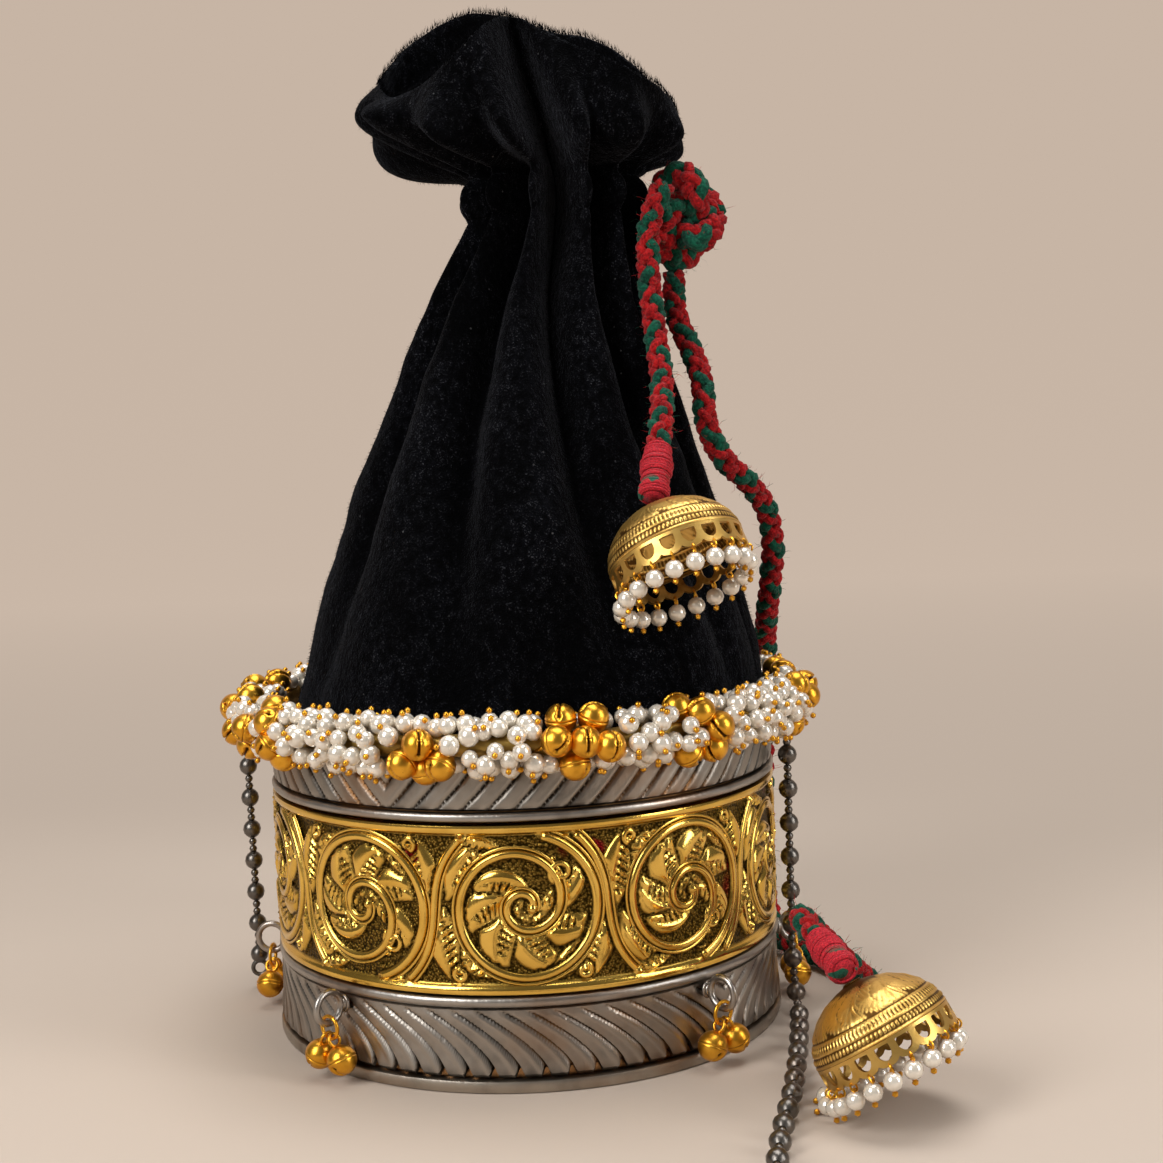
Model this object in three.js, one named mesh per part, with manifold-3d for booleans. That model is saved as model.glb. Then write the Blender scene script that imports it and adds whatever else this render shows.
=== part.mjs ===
// A potli: a velvet drawstring pouch on an embossed metal drum, trimmed with pearls and jingle bells.
// Millimetres, +Z up, the front faces -Y, and the origin is the middle of the base on the table.
import * as THREE from "three";
import { mergeVertices } from "three/addons/utils/BufferGeometryUtils.js";
import Module from "manifold-3d";

const wasm = await Module();
wasm.setup();
const { Manifold, Mesh } = wasm;

// Clearance between pieces that are soldered, sewn or tied to each other.
const SEAT = 0.3;

// Drum.
const DRUM_R = 63.5;
const SHEET = 1;
const RIM_SIDES = 40;
const STRIP = 1.7;
const FOOT_HEIGHT = 3;
const FOOT_REACH = 0.6;
const SKIRT_HEIGHT = 16.4;
const SKIRT_LEAVES = 62;
const LEAF_POINT = 2.4;
const MOULDING_HEIGHT = 2.6;
const SCROLL_HEIGHT = 39;
const FLUTED_HEIGHT = 13.1;

// Velvet pouch.
const CLOTH = 2;
const HEM_DEPTH = 9;
const NECK_R = 20.8;
const NECK_Z = 205;
const NECK_LEAN = 13;
const THROAT_R = 7;
const MOUTH_R = 38.5;
const MOUTH_LEAN = 6.4;
const FRILL_HEIGHT = 47;
const FULLNESS = 1.2;

// Drawstring and the pieces tied on it.
const DRAWSTRING_R = 3.1;
const CASING_R = 13.8;
const WRAP_R = 3.7;
const WRAP_LENGTH = 14;
const JHUMKA_R = 15.6;
const JHUMKA_HEIGHT = 17.5;
const JHUMKA_SHEET = 1;
const GALLERY_HEIGHT = 5;
const GALLERY_ARCHES = 20;
const FRINGE_PEARLS = 20;

// Trim.
const PEARL_R = 2.2;
const BELL_R = 3.5;
const CORE_R = 2.6;
const CHAIN_R = 2.4;

// Bell drops: the wire rings and the way they hang.
const HANGER_R = 3.6;
const HANGER_WIRE = 0.8;
const JUMP_R = 2.6;
const JUMP_WIRE = 0.45;
const LOOP_R = 1.5;
const LOOP_WIRE = 0.4;

// Heights of the drum's strips, each standing on the one below.
const skirtBottom = FOOT_HEIGHT + SEAT;
const skirtTop = FOOT_HEIGHT + SKIRT_HEIGHT;
const scrollBottom = skirtTop + MOULDING_HEIGHT;
const scrollTop = scrollBottom + SCROLL_HEIGHT;
const flutedBottom = scrollTop + MOULDING_HEIGHT;
const drumTop = flutedBottom + FLUTED_HEIGHT;
const wallOuter = DRUM_R - STRIP - SEAT;
const wallInner = wallOuter - SHEET;
const stripInner = DRUM_R - STRIP;

const garlandR = DRUM_R + CORE_R + 1.4;
const garlandZ = drumTop + 2.5;

const part = new THREE.Group();
part.name = "potli_bag";

const finish = {
  silver: [0x8d8882, 0.38, 1],
  gold: [0xd6a437, 0.25, 1],
  antique: [0x9c7a3c, 0.4, 1],
  gunmetal: [0x55534f, 0.25, 1],
  velvet: [0x0b0b0d, 0.95, 0],
  braid: [0x8c1420, 0.9, 0],
  thread: [0x9a0d1c, 0.7, 0],
  pearl: [0xece6da, 0.3, 0],
};

function place(name, geometry, look) {
  const [color, roughness, metalness] = finish[look];
  const material = new THREE.MeshStandardMaterial({ color, roughness, metalness });
  const mesh = new THREE.Mesh(geometry, material);
  mesh.name = name;
  part.add(mesh);
  return mesh;
}

// A closed geometry as an exact solid, and a solid as a geometry.
function solidOf(geometry) {
  const bare = geometry.clone();
  bare.deleteAttribute("normal");
  bare.deleteAttribute("uv");
  const merged = mergeVertices(bare, 1e-3);
  const triVerts = new Uint32Array(merged.index.array);
  const vertProperties = merged.attributes.position.array;
  return new Manifold(new Mesh({ numProp: 3, vertProperties, triVerts }));
}

function geometryOf(solid) {
  const mesh = solid.getMesh();
  const geometry = new THREE.BufferGeometry();
  geometry.setAttribute("position", new THREE.BufferAttribute(mesh.vertProperties, 3));
  geometry.setIndex(new THREE.BufferAttribute(mesh.triVerts, 1));
  return geometry;
}

function fuse(geometries) {
  return geometryOf(Manifold.union(geometries.map(solidOf)));
}

// A profile of [radius, height] pairs turned round the Z axis.
function turned(profile, segments) {
  const points = profile.map(([radius, height]) => new THREE.Vector2(radius, height));
  return new THREE.LatheGeometry(points, segments).rotateX(Math.PI / 2);
}

// The same for a closed ring section, whose profile returns to its first point.
function hoop(profile, segments) {
  return turned([...profile, profile[0]], segments);
}

function radians(degrees) {
  return THREE.MathUtils.degToRad(degrees);
}

// A point by its azimuth from the front, towards +X, its radius and its height.
function polar(azimuth, radius, height) {
  const a = radians(azimuth);
  return new THREE.Vector3(radius * Math.sin(a), -radius * Math.cos(a), height);
}

// A round tube along a smooth line through the points.
function tube(points, radius, steps, sides = 8) {
  const outline = new THREE.Shape();
  for (let i = 0; i < sides; i++) {
    const a = (2 * Math.PI * i) / sides;
    outline[i ? "lineTo" : "moveTo"](radius * Math.cos(a), radius * Math.sin(a));
  }
  outline.closePath();
  const extrudePath = new THREE.CatmullRomCurve3(points, false, "centripetal");
  return new THREE.ExtrudeGeometry(outline, { steps, bevelEnabled: false, extrudePath });
}

function vectors(list) {
  return list.map(([x, y, z]) => new THREE.Vector3(x, y, z));
}

// Turns and moves a geometry modelled upright at the origin onto an axis that starts at a point.
function onAxis(geometry, start, axis) {
  const turn = new THREE.Quaternion().setFromUnitVectors(new THREE.Vector3(0, 0, 1), axis);
  return geometry.applyQuaternion(turn).translate(start.x, start.y, start.z);
}

// Drum: a plate and a wall of sheet, dressed with five soldered strips.
place(
  "base_plate",
  turned(
    [
      [0, 0],
      [DRUM_R + FOOT_REACH, 0],
      [DRUM_R + FOOT_REACH, FOOT_HEIGHT],
      [wallOuter + SEAT, FOOT_HEIGHT],
      [wallOuter + SEAT, SHEET],
      [0, SHEET],
    ],
    RIM_SIDES,
  ),
  "silver",
);

place(
  "drum_wall",
  hoop(
    [
      [wallOuter, SHEET + SEAT],
      [wallOuter, drumTop],
      [wallInner, drumTop],
      [wallInner, SHEET + SEAT],
    ],
    RIM_SIDES,
  ),
  "silver",
);

// The skirt flares to the foot and ends in a row of leaf points.
function leafSkirt() {
  const skirt = hoop(
    [
      [DRUM_R, skirtBottom + LEAF_POINT + 2],
      [DRUM_R - 0.3, skirtTop - SEAT],
      [stripInner, skirtTop - SEAT],
      [stripInner, skirtBottom],
      [DRUM_R + 0.2, skirtBottom],
    ],
    2 * SKIRT_LEAVES,
  );
  const position = skirt.attributes.position;
  for (let i = 0; i < position.count; i++) {
    if (position.getZ(i) > skirtBottom + 0.01) continue;
    const azimuth = Math.atan2(position.getY(i), position.getX(i));
    const notch = 0.5 - 0.5 * Math.cos(azimuth * SKIRT_LEAVES);
    position.setZ(i, skirtBottom + LEAF_POINT * notch);
  }
  return skirt;
}

place("leaf_skirt", leafSkirt(), "silver");

function halfRound(bottom, top, reach) {
  const middle = (bottom + top) / 2;
  return hoop(
    [
      [stripInner, bottom],
      [DRUM_R + reach, middle - 0.4],
      [DRUM_R + reach, middle + 0.4],
      [stripInner, top],
    ],
    RIM_SIDES,
  );
}

place("lower_moulding", halfRound(skirtTop, scrollBottom - SEAT, 0.3), "silver");

const lip = 2.6;
place(
  "scroll_band",
  hoop(
    [
      [stripInner, scrollBottom],
      [DRUM_R + 0.2, scrollBottom + lip / 3],
      [DRUM_R - 0.4, scrollBottom + lip],
      [DRUM_R - 0.4, scrollTop - lip],
      [DRUM_R + 0.2, scrollTop - lip / 3],
      [stripInner, scrollTop],
    ],
    RIM_SIDES,
  ),
  "gold",
);

place("upper_moulding", halfRound(scrollTop + SEAT, flutedBottom - SEAT, 0.2), "silver");

place(
  "fluted_band",
  hoop(
    [
      [stripInner, flutedBottom],
      [DRUM_R - 0.3, flutedBottom],
      [DRUM_R, (flutedBottom + drumTop) / 2],
      [DRUM_R - 0.3, drumTop],
      [stripInner, drumTop],
    ],
    RIM_SIDES,
  ),
  "silver",
);

// Pouch: a leaning cone of velvet from the hem inside the rim to the gathered neck, then the frill.
const frillTop = NECK_Z + FRILL_HEIGHT;
const hemR = wallInner - SEAT;
const pouchFoot = drumTop + 7;
const neckFoot = NECK_Z - 6;

function pouchR(height) {
  const t = (height - pouchFoot) / (neckFoot - pouchFoot);
  return THREE.MathUtils.lerp(hemR - 0.2, NECK_R + 1.2, t) + FULLNESS * Math.sin(2 * Math.PI * t);
}

function lean(height) {
  const up = THREE.MathUtils.clamp((height - drumTop) / (NECK_Z - drumTop), 0, 1);
  const over = THREE.MathUtils.smoothstep(height, NECK_Z + 3, NECK_Z + 27);
  return NECK_LEAN * up ** 1.5 + (MOUTH_LEAN - NECK_LEAN) * over;
}

// A turned velvet shell, each of its rows moved sideways to lean as the pouch does.
function leaning(profile) {
  const shell = hoop(profile, 24);
  const position = shell.attributes.position;
  for (let i = 0; i < position.count; i++) {
    position.setX(i, position.getX(i) + lean(position.getZ(i)));
  }
  return shell;
}

function pouchGeometry() {
  const outside = [
    [hemR, drumTop - HEM_DEPTH],
    [hemR, drumTop],
  ];
  const inside = [];
  const bodyRows = 4;
  for (let i = 0; i <= bodyRows; i++) {
    const height = THREE.MathUtils.lerp(pouchFoot, neckFoot, i / bodyRows);
    outside.push([pouchR(height), height]);
    if (i < bodyRows - 1) inside.push([pouchR(height) - CLOTH, height]);
  }
  inside.push([NECK_R - 6, neckFoot - 8], [THROAT_R, neckFoot - 2], [THROAT_R, neckFoot]);
  const hem = [
    [hemR - CLOTH, drumTop],
    [hemR - CLOTH, drumTop - HEM_DEPTH],
  ];
  return leaning([...outside, ...inside.reverse(), ...hem]);
}

// The frill starts at the seam under the casing and opens like a flower above it.
function frillGeometry() {
  const seam = neckFoot + SEAT;
  return leaning([
    [pouchR(neckFoot), seam],
    [NECK_R, NECK_Z],
    [NECK_R + 1.5, NECK_Z + 6],
    [MOUTH_R * 0.9, NECK_Z + 15],
    [MOUTH_R, NECK_Z + 26],
    [MOUTH_R * 0.88, NECK_Z + 38],
    [MOUTH_R * 0.68, frillTop],
    [MOUTH_R * 0.62, frillTop],
    [MOUTH_R * 0.8, NECK_Z + 37],
    [MOUTH_R - 3.5, NECK_Z + 26],
    [MOUTH_R - 6, NECK_Z + 17],
    [THROAT_R, NECK_Z + 4],
    [THROAT_R, seam],
  ]);
}

// The drawstring enters the casing on the right, runs round the throat and comes out beside itself.
const casingLine = [new THREE.Vector3(NECK_R + 1.4, -4.3, 0), new THREE.Vector3(NECK_R - 2, -4.6, 0)];
for (let azimuth = -32; azimuth >= -328; azimuth -= 37) {
  const a = radians(azimuth);
  casingLine.push(new THREE.Vector3(CASING_R * Math.cos(a), CASING_R * Math.sin(a), 0));
}
casingLine.push(new THREE.Vector3(NECK_R - 2, 4.6, 0), new THREE.Vector3(NECK_R + 1.4, 4.3, 0));
for (const point of casingLine) point.add(new THREE.Vector3(NECK_LEAN, 0, NECK_Z));

const casingEnds = [casingLine[0], casingLine[casingLine.length - 1]];
const casingCut = casingLine.map((point) => point.clone());
casingCut[0].x += 4;
casingCut[casingCut.length - 1].x += 4;
const casing = solidOf(tube(casingCut, DRAWSTRING_R + 2 * SEAT, 16));
place("velvet_pouch", pouchGeometry(), "velvet");
place("velvet_frill", geometryOf(solidOf(frillGeometry()).subtract(casing)), "velvet");
place("drawstring_casing", tube(casingLine, DRAWSTRING_R, 16), "braid");

// The knot sits against the two ends that leave the casing.
const knotR = new THREE.Vector3(9.6, 9, 13.5);
const knotAt = new THREE.Vector3(casingEnds[0].x + knotR.x + SEAT, -5, NECK_Z - 6);
const knot = new THREE.SphereGeometry(1, 10, 8).rotateX(Math.PI / 2);
knot.scale(knotR.x, knotR.y, knotR.z).translate(knotAt.x, knotAt.y, knotAt.z);
place("drawstring_knot", knot, "braid");

// Jhumka: a pierced dome with a pearl fringe, upright with the middle of its mouth at the origin.
function jhumkaDome() {
  const wall = JHUMKA_SHEET;
  const dome = turned(
    [
      [0, GALLERY_HEIGHT + 9.6],
      [JHUMKA_R * 0.6 - wall, GALLERY_HEIGHT + 8.4],
      [JHUMKA_R * 0.9 - wall, GALLERY_HEIGHT + 4.2],
      [JHUMKA_R - wall, GALLERY_HEIGHT],
      [JHUMKA_R - wall, 0],
      [JHUMKA_R, 0],
      [JHUMKA_R, GALLERY_HEIGHT],
      [JHUMKA_R * 0.9, GALLERY_HEIGHT + 5],
      [JHUMKA_R * 0.6, GALLERY_HEIGHT + 9.6],
      [2.2, JHUMKA_HEIGHT - 1.2],
      [2.2, JHUMKA_HEIGHT],
      [0, JHUMKA_HEIGHT],
    ],
    GALLERY_ARCHES,
  );
  const half = 1.2;
  const outline = new THREE.Shape();
  outline.moveTo(-half, GALLERY_HEIGHT - 0.8);
  outline.lineTo(-half, 2.4);
  outline.lineTo(0, 1.1);
  outline.lineTo(half, 2.4);
  outline.lineTo(half, GALLERY_HEIGHT - 0.8);
  outline.closePath();
  const arches = [];
  for (let i = 0; i < GALLERY_ARCHES; i++) {
    const arch = new THREE.ExtrudeGeometry(outline, { depth: 4, bevelEnabled: false });
    arch.rotateX(Math.PI / 2).translate(0, -(JHUMKA_R - 2.6), 0);
    arch.rotateZ((2 * Math.PI * (i + 0.5)) / GALLERY_ARCHES);
    arches.push(solidOf(arch));
  }
  return geometryOf(solidOf(dome).subtract(Manifold.union(arches)));
}

function jhumkaFringe() {
  const sides = 5;
  const fringe = new THREE.TorusGeometry(JHUMKA_R - 0.5, PEARL_R, sides, 2 * FRINGE_PEARLS);
  const position = fringe.attributes.position;
  for (let i = 0; i < position.count; i++) {
    const station = i % (2 * FRINGE_PEARLS + 1);
    if (station % 2 === 0) continue;
    const waist = polar(90 + (180 * station) / FRINGE_PEARLS, JHUMKA_R - 0.5, 0);
    const point = new THREE.Vector3().fromBufferAttribute(position, i).lerp(waist, 0.6);
    position.setXYZ(i, point.x, point.y, point.z);
  }
  return fringe.translate(0, 0, -PEARL_R - SEAT);
}

function placeJhumka(tag, apex, axis, wrapAxis) {
  const mouth = apex.clone().addScaledVector(axis, -JHUMKA_HEIGHT);
  place(`jhumka_dome_${tag}`, onAxis(jhumkaDome(), mouth, axis), "antique");
  place(`jhumka_fringe_${tag}`, onAxis(jhumkaFringe(), mouth, axis), "pearl");
  const wrap = turned(
    [
      [0, 0],
      [WRAP_R - 0.9, 0],
      [WRAP_R, 1.4],
      [WRAP_R, WRAP_LENGTH - 1.4],
      [WRAP_R - 0.5, WRAP_LENGTH],
      [0, WRAP_LENGTH],
    ],
    12,
  );
  const bend = axis.angleTo(wrapAxis);
  const start = apex.clone().addScaledVector(axis, SEAT + (WRAP_R - 0.9) * Math.sin(bend));
  place(`thread_wrap_${tag}`, onAxis(wrap, start, wrapAxis), "thread");
  return [6, 0].map((back) => start.clone().addScaledVector(wrapAxis, WRAP_LENGTH + SEAT + back));
}

// A point in front of the pouch, off its surface by what hangs there.
function besidePouch(azimuth, height, away) {
  return polar(azimuth, pouchR(height) + away, height).add(new THREE.Vector3(lean(height), 0, 0));
}

// How high the top of a jhumka is when it lies tilted on the table on its fringe.
function restingHeight(axis) {
  const upright = axis.z * (JHUMKA_HEIGHT + PEARL_R + SEAT);
  const tilted = Math.hypot(axis.x, axis.y) * (JHUMKA_R - 0.5);
  return upright + tilted + PEARL_R + SEAT;
}

// Tail A hangs down the right front of the pouch, its jhumka lying on the velvet.
const wrapEntryA = placeJhumka(
  "a",
  besidePouch(29.95, 129.6, JHUMKA_R - 1.2),
  new THREE.Vector3(-0.31, 0.4, 0.86).normalize(),
  new THREE.Vector3(0.14, 0.6, 0.79).normalize(),
);
const tailA = vectors([
  [39.6, -14.9, 205.6],
  [37.3, -15.5, 200.8],
  [35.7, -16.2, 194.6],
  [35.2, -16.9, 186.5],
  [35.7, -18.6, 176.5],
  [36.5, -22.2, 166],
  [37, -27.4, 157.6],
]);
place("drawstring_tail_a", tube([...tailA, ...wrapEntryA], DRAWSTRING_R, 13), "braid");

// Tail B swings out to the right, drops behind the drum and comes forward over the table.
const axisB = new THREE.Vector3(-0.45, 0.3, 0.84).normalize();
const wrapEntryB = placeJhumka(
  "b",
  new THREE.Vector3(70.3, -78.6, restingHeight(axisB)),
  axisB,
  new THREE.Vector3(-0.25, 0.93, 0.22).normalize(),
);
const tailB = vectors([
  [42.4, -3.6, 185.1],
  [41.9, -5.2, 179.6],
  [42.7, -7.7, 173.2],
  [45, -10.5, 166.8],
  [47.2, -13.3, 160.3],
  [47.7, -15.8, 153.8],
  [48.2, -17, 147.8],
  [50, -16.8, 142.4],
  [53.2, -14.9, 137.8],
  [57.6, -10.8, 133.8],
  [62, -4.8, 129],
  [65, 1.2, 122.8],
  [66.3, 6.6, 115.4],
  [66.3, 12.2, 107.4],
  [66.1, 19.2, 99.8],
  [66.4, 27.4, 93.6],
  [67.1, 35, 87.4],
  [67.6, 40.6, 79.6],
  [67.4, 43.2, 70],
  [66.8, 44, 58],
  [66.2, 44, 38],
  [66.2, 43.8, 18.7],
  [66.6, 42.2, 12.3],
  [67.7, 38.7, 7.4],
  [69.6, 33.6, 4.4],
  [72.5, 27.5, 3.4],
  [77.6, 18.6, 3.4],
  [82.6, 9.6, 3.4],
  [85.5, 1.4, 3.4],
  [86.3, -5.9, 4.3],
  [84.7, -12.2, 6.7],
  [81.3, -18, 10.8],
  [77.4, -24.4, 15.7],
  [73.5, -31.1, 20.8],
  [69.3, -38.2, 26.4],
  [65.6, -44.8, 31.3],
  [64, -49.3, 33.5],
  [63.5, -53.9, 34.4],
]);
place("drawstring_tail_b", tube([...tailB, ...wrapEntryB], DRAWSTRING_R, 38), "braid");

// Chain handle: a short left strand with an end ring and a long right strand with a clasp.
const chainAzimuth = { left: -106.5, right: 78 };
const chainLeft = [
  [garlandR + 0.8 * (CORE_R + SEAT), garlandZ - 0.6 * (CORE_R + SEAT)],
  [garlandR + 5.4, garlandZ - 4],
  [garlandR + 8, garlandZ - 6.9],
  [garlandR + 9.6, garlandZ - 10.4],
  [garlandR + 10.4, garlandZ - 14.7],
  [garlandR + 10.5, garlandZ - 21.2],
  [garlandR + 10.3, 40],
  [garlandR + 10, 8],
].map(([reach, height]) => polar(chainAzimuth.left, reach, height));
const chainFall = polar(chainAzimuth.right, garlandR, 0);
const chainRight = [
  chainFall.clone().setZ(garlandZ - CORE_R - SEAT),
  chainFall.clone().setZ(45),
  chainFall.clone().setZ(16),
  ...vectors([
    [66.1, -14.8, 11.4],
    [66.2, -17.3, 6.9],
    [66.1, -21.3, 4],
    [65.8, -26.4, 2.9],
    [64.5, -36, 2.9],
    [61.5, -55, 2.9],
    [57.5, -76, 2.9],
    [52, -100, 2.9],
    [48.6, -120, 2.9],
    [47.4, -136, 2.9],
    [46.8, -152, 2.9],
    [38, -172, 2.9],
    [18, -179.6, 2.9],
    [-1.4, -171.2, 2.9],
    [-8.8, -152, 2.9],
    [-0.6, -133.4, 2.9],
    [18, -126.6, 2.9],
    [34.6, -135, 2.9],
    [40.4, -150, 2.9],
    [38, -159.4, 2.9],
    [31.2, -165.4, 2.9],
    [22.5, -165.2, 2.9],
  ]),
];
const strands = {
  left: tube(chainLeft, CHAIN_R, 8),
  right: tube(chainRight, CHAIN_R, 34),
};
place("chain_left", strands.left, "gunmetal");
place("chain_right", strands.right, "gunmetal");

const endRing = new THREE.TorusGeometry(1.9, 0.6, 5, 10).rotateX(Math.PI / 2);
const ringAt = chainLeft[chainLeft.length - 1];
endRing.translate(ringAt.x, ringAt.y, ringAt.z - 2.5 - SEAT);
place("chain_end_ring", endRing, "gunmetal");

// A flat spring hook with an eye for the finger lever, lying on the table.
function claspGeometry() {
  const plate = new THREE.Shape();
  plate.moveTo(0, -1.6);
  plate.lineTo(0, 1.6);
  plate.lineTo(-4, 3);
  plate.lineTo(-9, 3.2);
  plate.lineTo(-11.5, 1.2);
  plate.lineTo(-11.5, -1.2);
  plate.lineTo(-9, -3.2);
  plate.lineTo(-4, -3);
  plate.closePath();
  const eye = new THREE.Path();
  eye.moveTo(-4.6, 1.2);
  eye.lineTo(-4.6, -1.4);
  eye.lineTo(-8.6, -1.6);
  eye.lineTo(-9.8, 0);
  eye.lineTo(-8.6, 1.6);
  eye.closePath();
  plate.holes.push(eye);
  return new THREE.ExtrudeGeometry(plate, { depth: 2.6, bevelEnabled: false });
}

const chainEnd = chainRight[chainRight.length - 1];
const clasp = claspGeometry().translate(-2 * SEAT, 0, 1.5).rotateZ(radians(-4));
place("chain_clasp", clasp.translate(chainEnd.x, chainEnd.y, 0), "gunmetal");

// Garland: a sewn core round the rim, carrying groups of bells with runs of pearls between them.
function garlandPoint(azimuth, turn, reach) {
  const t = radians(turn);
  return polar(azimuth, garlandR + reach * Math.cos(t), garlandZ + reach * Math.sin(t));
}

function coreArc(from, to) {
  const gap = THREE.MathUtils.radToDeg(SEAT / garlandR);
  const points = [];
  const rows = Math.max(2, Math.ceil((to - from) / 12));
  for (let i = 0; i <= rows; i++) {
    const azimuth = THREE.MathUtils.lerp(from + gap, to - gap, i / rows);
    points.push(polar(azimuth, garlandR, garlandZ));
  }
  return tube(points, CORE_R, rows, 5);
}

function beadAt(bead, azimuth, turn, reach) {
  const at = garlandPoint(azimuth, turn, reach);
  return bead.clone().translate(at.x, at.y, at.z);
}

// Bell groups: the azimuths they fill, and each bell by azimuth and turn about the core.
const bellGroups = {
  left: {
    from: -113,
    to: -46,
    bells: [
      [-96, 66], [-103, 104], [-92, 4], [-78, 86], [-82, 24], [-84, -44], [-57, 92],
      [-53, 38], [-62, 6], [-73, -24], [-52, -24], [-66, -58], [-51, -70],
    ],
  },
  front_left: { from: -25, to: -8, bells: [[-16.5, 13], [-20, -42], [-13, -46], [-16.5, -82]] },
  front_right: {
    from: 3,
    to: 20.5,
    bells: [[9, 97], [15, 86], [7.5, 14], [12.5, 8], [16.8, -8], [11, -70]],
  },
  right_front: { from: 29, to: 43, bells: [[33, 98], [36, 54], [39, 7], [39, -56], [34, -74]] },
  right: {
    from: 60,
    to: 102,
    bells: [[94, 106], [86, 98], [74, 52], [84, 30], [78, 6], [70, -60], [92, -15]],
  },
  rear: {
    from: 160,
    to: 196,
    bells: [[164, 60], [171, 10], [167, -50], [179, 75], [180, -5], [190, 20]],
  },
};
const garlandBell = new THREE.IcosahedronGeometry(BELL_R * 1.12);
const bellReach = CORE_R + BELL_R - 1;
for (const [name, group] of Object.entries(bellGroups)) {
  const pieces = [coreArc(group.from, group.to)];
  for (const [azimuth, turn] of group.bells) {
    pieces.push(beadAt(garlandBell, azimuth, turn, bellReach));
  }
  place(`garland_bells_${name}`, fuse(pieces), "gold");
}

// Pearls sit in staggered rows round the outer side of the core.
const pearlRuns = [
  ["left", -46, -25],
  ["front", -8, 3],
  ["front_right", 20.5, 29],
  ["right", 43, 60],
  ["rear_right", 102, 160],
  ["rear_left", 196, 247],
];
const pearlRows = [[-104, 22], [-38, 84]];
const garlandPearl = new THREE.IcosahedronGeometry(PEARL_R * 1.12);
const pearlReach = CORE_R + PEARL_R - 1;
for (const [name, from, to] of pearlRuns) {
  const pieces = [coreArc(from, to)];
  const inset = THREE.MathUtils.radToDeg((1.12 * PEARL_R + SEAT) / garlandR);
  const length = radians(to - from - 2 * inset) * garlandR;
  const stations = Math.round(length / (2.6 * PEARL_R));
  for (let i = 0; i <= stations; i++) {
    const azimuth = THREE.MathUtils.lerp(from + inset, to - inset, i / stations);
    for (const turn of pearlRows[i % 2]) {
      pieces.push(beadAt(garlandPearl, azimuth, turn, pearlReach));
    }
  }
  place(`garland_pearls_${name}`, fuse(pieces), "pearl");
}

// Bell drops: each hanger ring stands out from the skirt, and a jump ring with two bells hangs in it.
const hangerReach = DRUM_R + SEAT + 0.5 + HANGER_R + HANGER_WIRE;
const hangerZ = scrollBottom - MOULDING_HEIGHT - 2;
const dropAzimuths = { front_left: -41, front_right: 41, left: -97, right: 91, rear: 180 };

function bellGeometry() {
  const ball = turned(
    [
      [0, -BELL_R],
      [BELL_R * 0.74, -BELL_R * 0.7],
      [BELL_R, 0],
      [BELL_R * 0.74, BELL_R * 0.7],
      [0, BELL_R],
    ],
    8,
  );
  const slot = new THREE.BoxGeometry(BELL_R * 3, 0.6, BELL_R * 0.75);
  const loop = new THREE.TorusGeometry(LOOP_R, LOOP_WIRE, 4, 6).rotateX(Math.PI / 2);
  const cut = solidOf(ball).subtract(solidOf(slot.translate(0, 0, -BELL_R * 0.8)));
  const bell = cut.add(solidOf(loop.translate(0, 0, BELL_R + LOOP_R - 0.2)));
  return geometryOf(bell).translate(0, 0, -BELL_R - LOOP_R + 0.2);
}

for (const [name, azimuth] of Object.entries(dropAzimuths)) {
  const yaw = radians(azimuth - 90);
  const hanger = new THREE.TorusGeometry(HANGER_R, HANGER_WIRE, 4, 12).rotateX(Math.PI / 2);
  const boss = new THREE.CylinderGeometry(1.5, 1.5, 1.2, 6).rotateZ(Math.PI / 2);
  boss.translate(-HANGER_R - HANGER_WIRE + 0.1, 0, 0);
  const ring = fuse([hanger, boss]).translate(hangerReach, 0, hangerZ).rotateZ(yaw);
  place(`hanger_ring_${name}`, ring, "silver");

  const jumpZ = hangerZ - HANGER_R + HANGER_WIRE + SEAT + JUMP_WIRE - JUMP_R;
  const jump = new THREE.TorusGeometry(JUMP_R, JUMP_WIRE, 4, 10).rotateY(Math.PI / 2);
  place(`jump_ring_${name}`, jump.translate(hangerReach, 0, jumpZ).rotateZ(yaw), "gold");

  for (const side of [-1, 1]) {
    const hang = JUMP_R - JUMP_WIRE - SEAT - LOOP_WIRE + LOOP_R;
    const spread = side * Math.asin((BELL_R + SEAT / 2) / (hang + BELL_R + LOOP_R - 0.2));
    const bell = bellGeometry().rotateX(spread);
    bell.translate(hangerReach, hang * Math.sin(spread), jumpZ - hang * Math.cos(spread));
    place(`drop_bell_${name}_${side < 0 ? "l" : "r"}`, bell.rotateZ(yaw), "gold");
  }
}

export default part;
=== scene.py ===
import math

import bmesh
import bpy
import numpy as np
from mathutils import Matrix, Vector, noise


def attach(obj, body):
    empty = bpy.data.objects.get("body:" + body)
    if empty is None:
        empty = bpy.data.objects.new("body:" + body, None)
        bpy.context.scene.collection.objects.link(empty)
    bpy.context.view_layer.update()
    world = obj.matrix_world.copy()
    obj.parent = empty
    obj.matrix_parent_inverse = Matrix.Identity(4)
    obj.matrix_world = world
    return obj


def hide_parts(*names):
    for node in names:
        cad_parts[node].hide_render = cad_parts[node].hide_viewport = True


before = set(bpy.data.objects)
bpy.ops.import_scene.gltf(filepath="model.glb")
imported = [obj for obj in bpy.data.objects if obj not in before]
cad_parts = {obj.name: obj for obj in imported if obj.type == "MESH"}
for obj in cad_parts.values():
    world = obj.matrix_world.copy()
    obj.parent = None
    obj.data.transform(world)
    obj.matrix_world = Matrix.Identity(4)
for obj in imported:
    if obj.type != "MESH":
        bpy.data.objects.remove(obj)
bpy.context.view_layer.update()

scene = bpy.context.scene
scene.view_settings.view_transform = "Standard"

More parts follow.
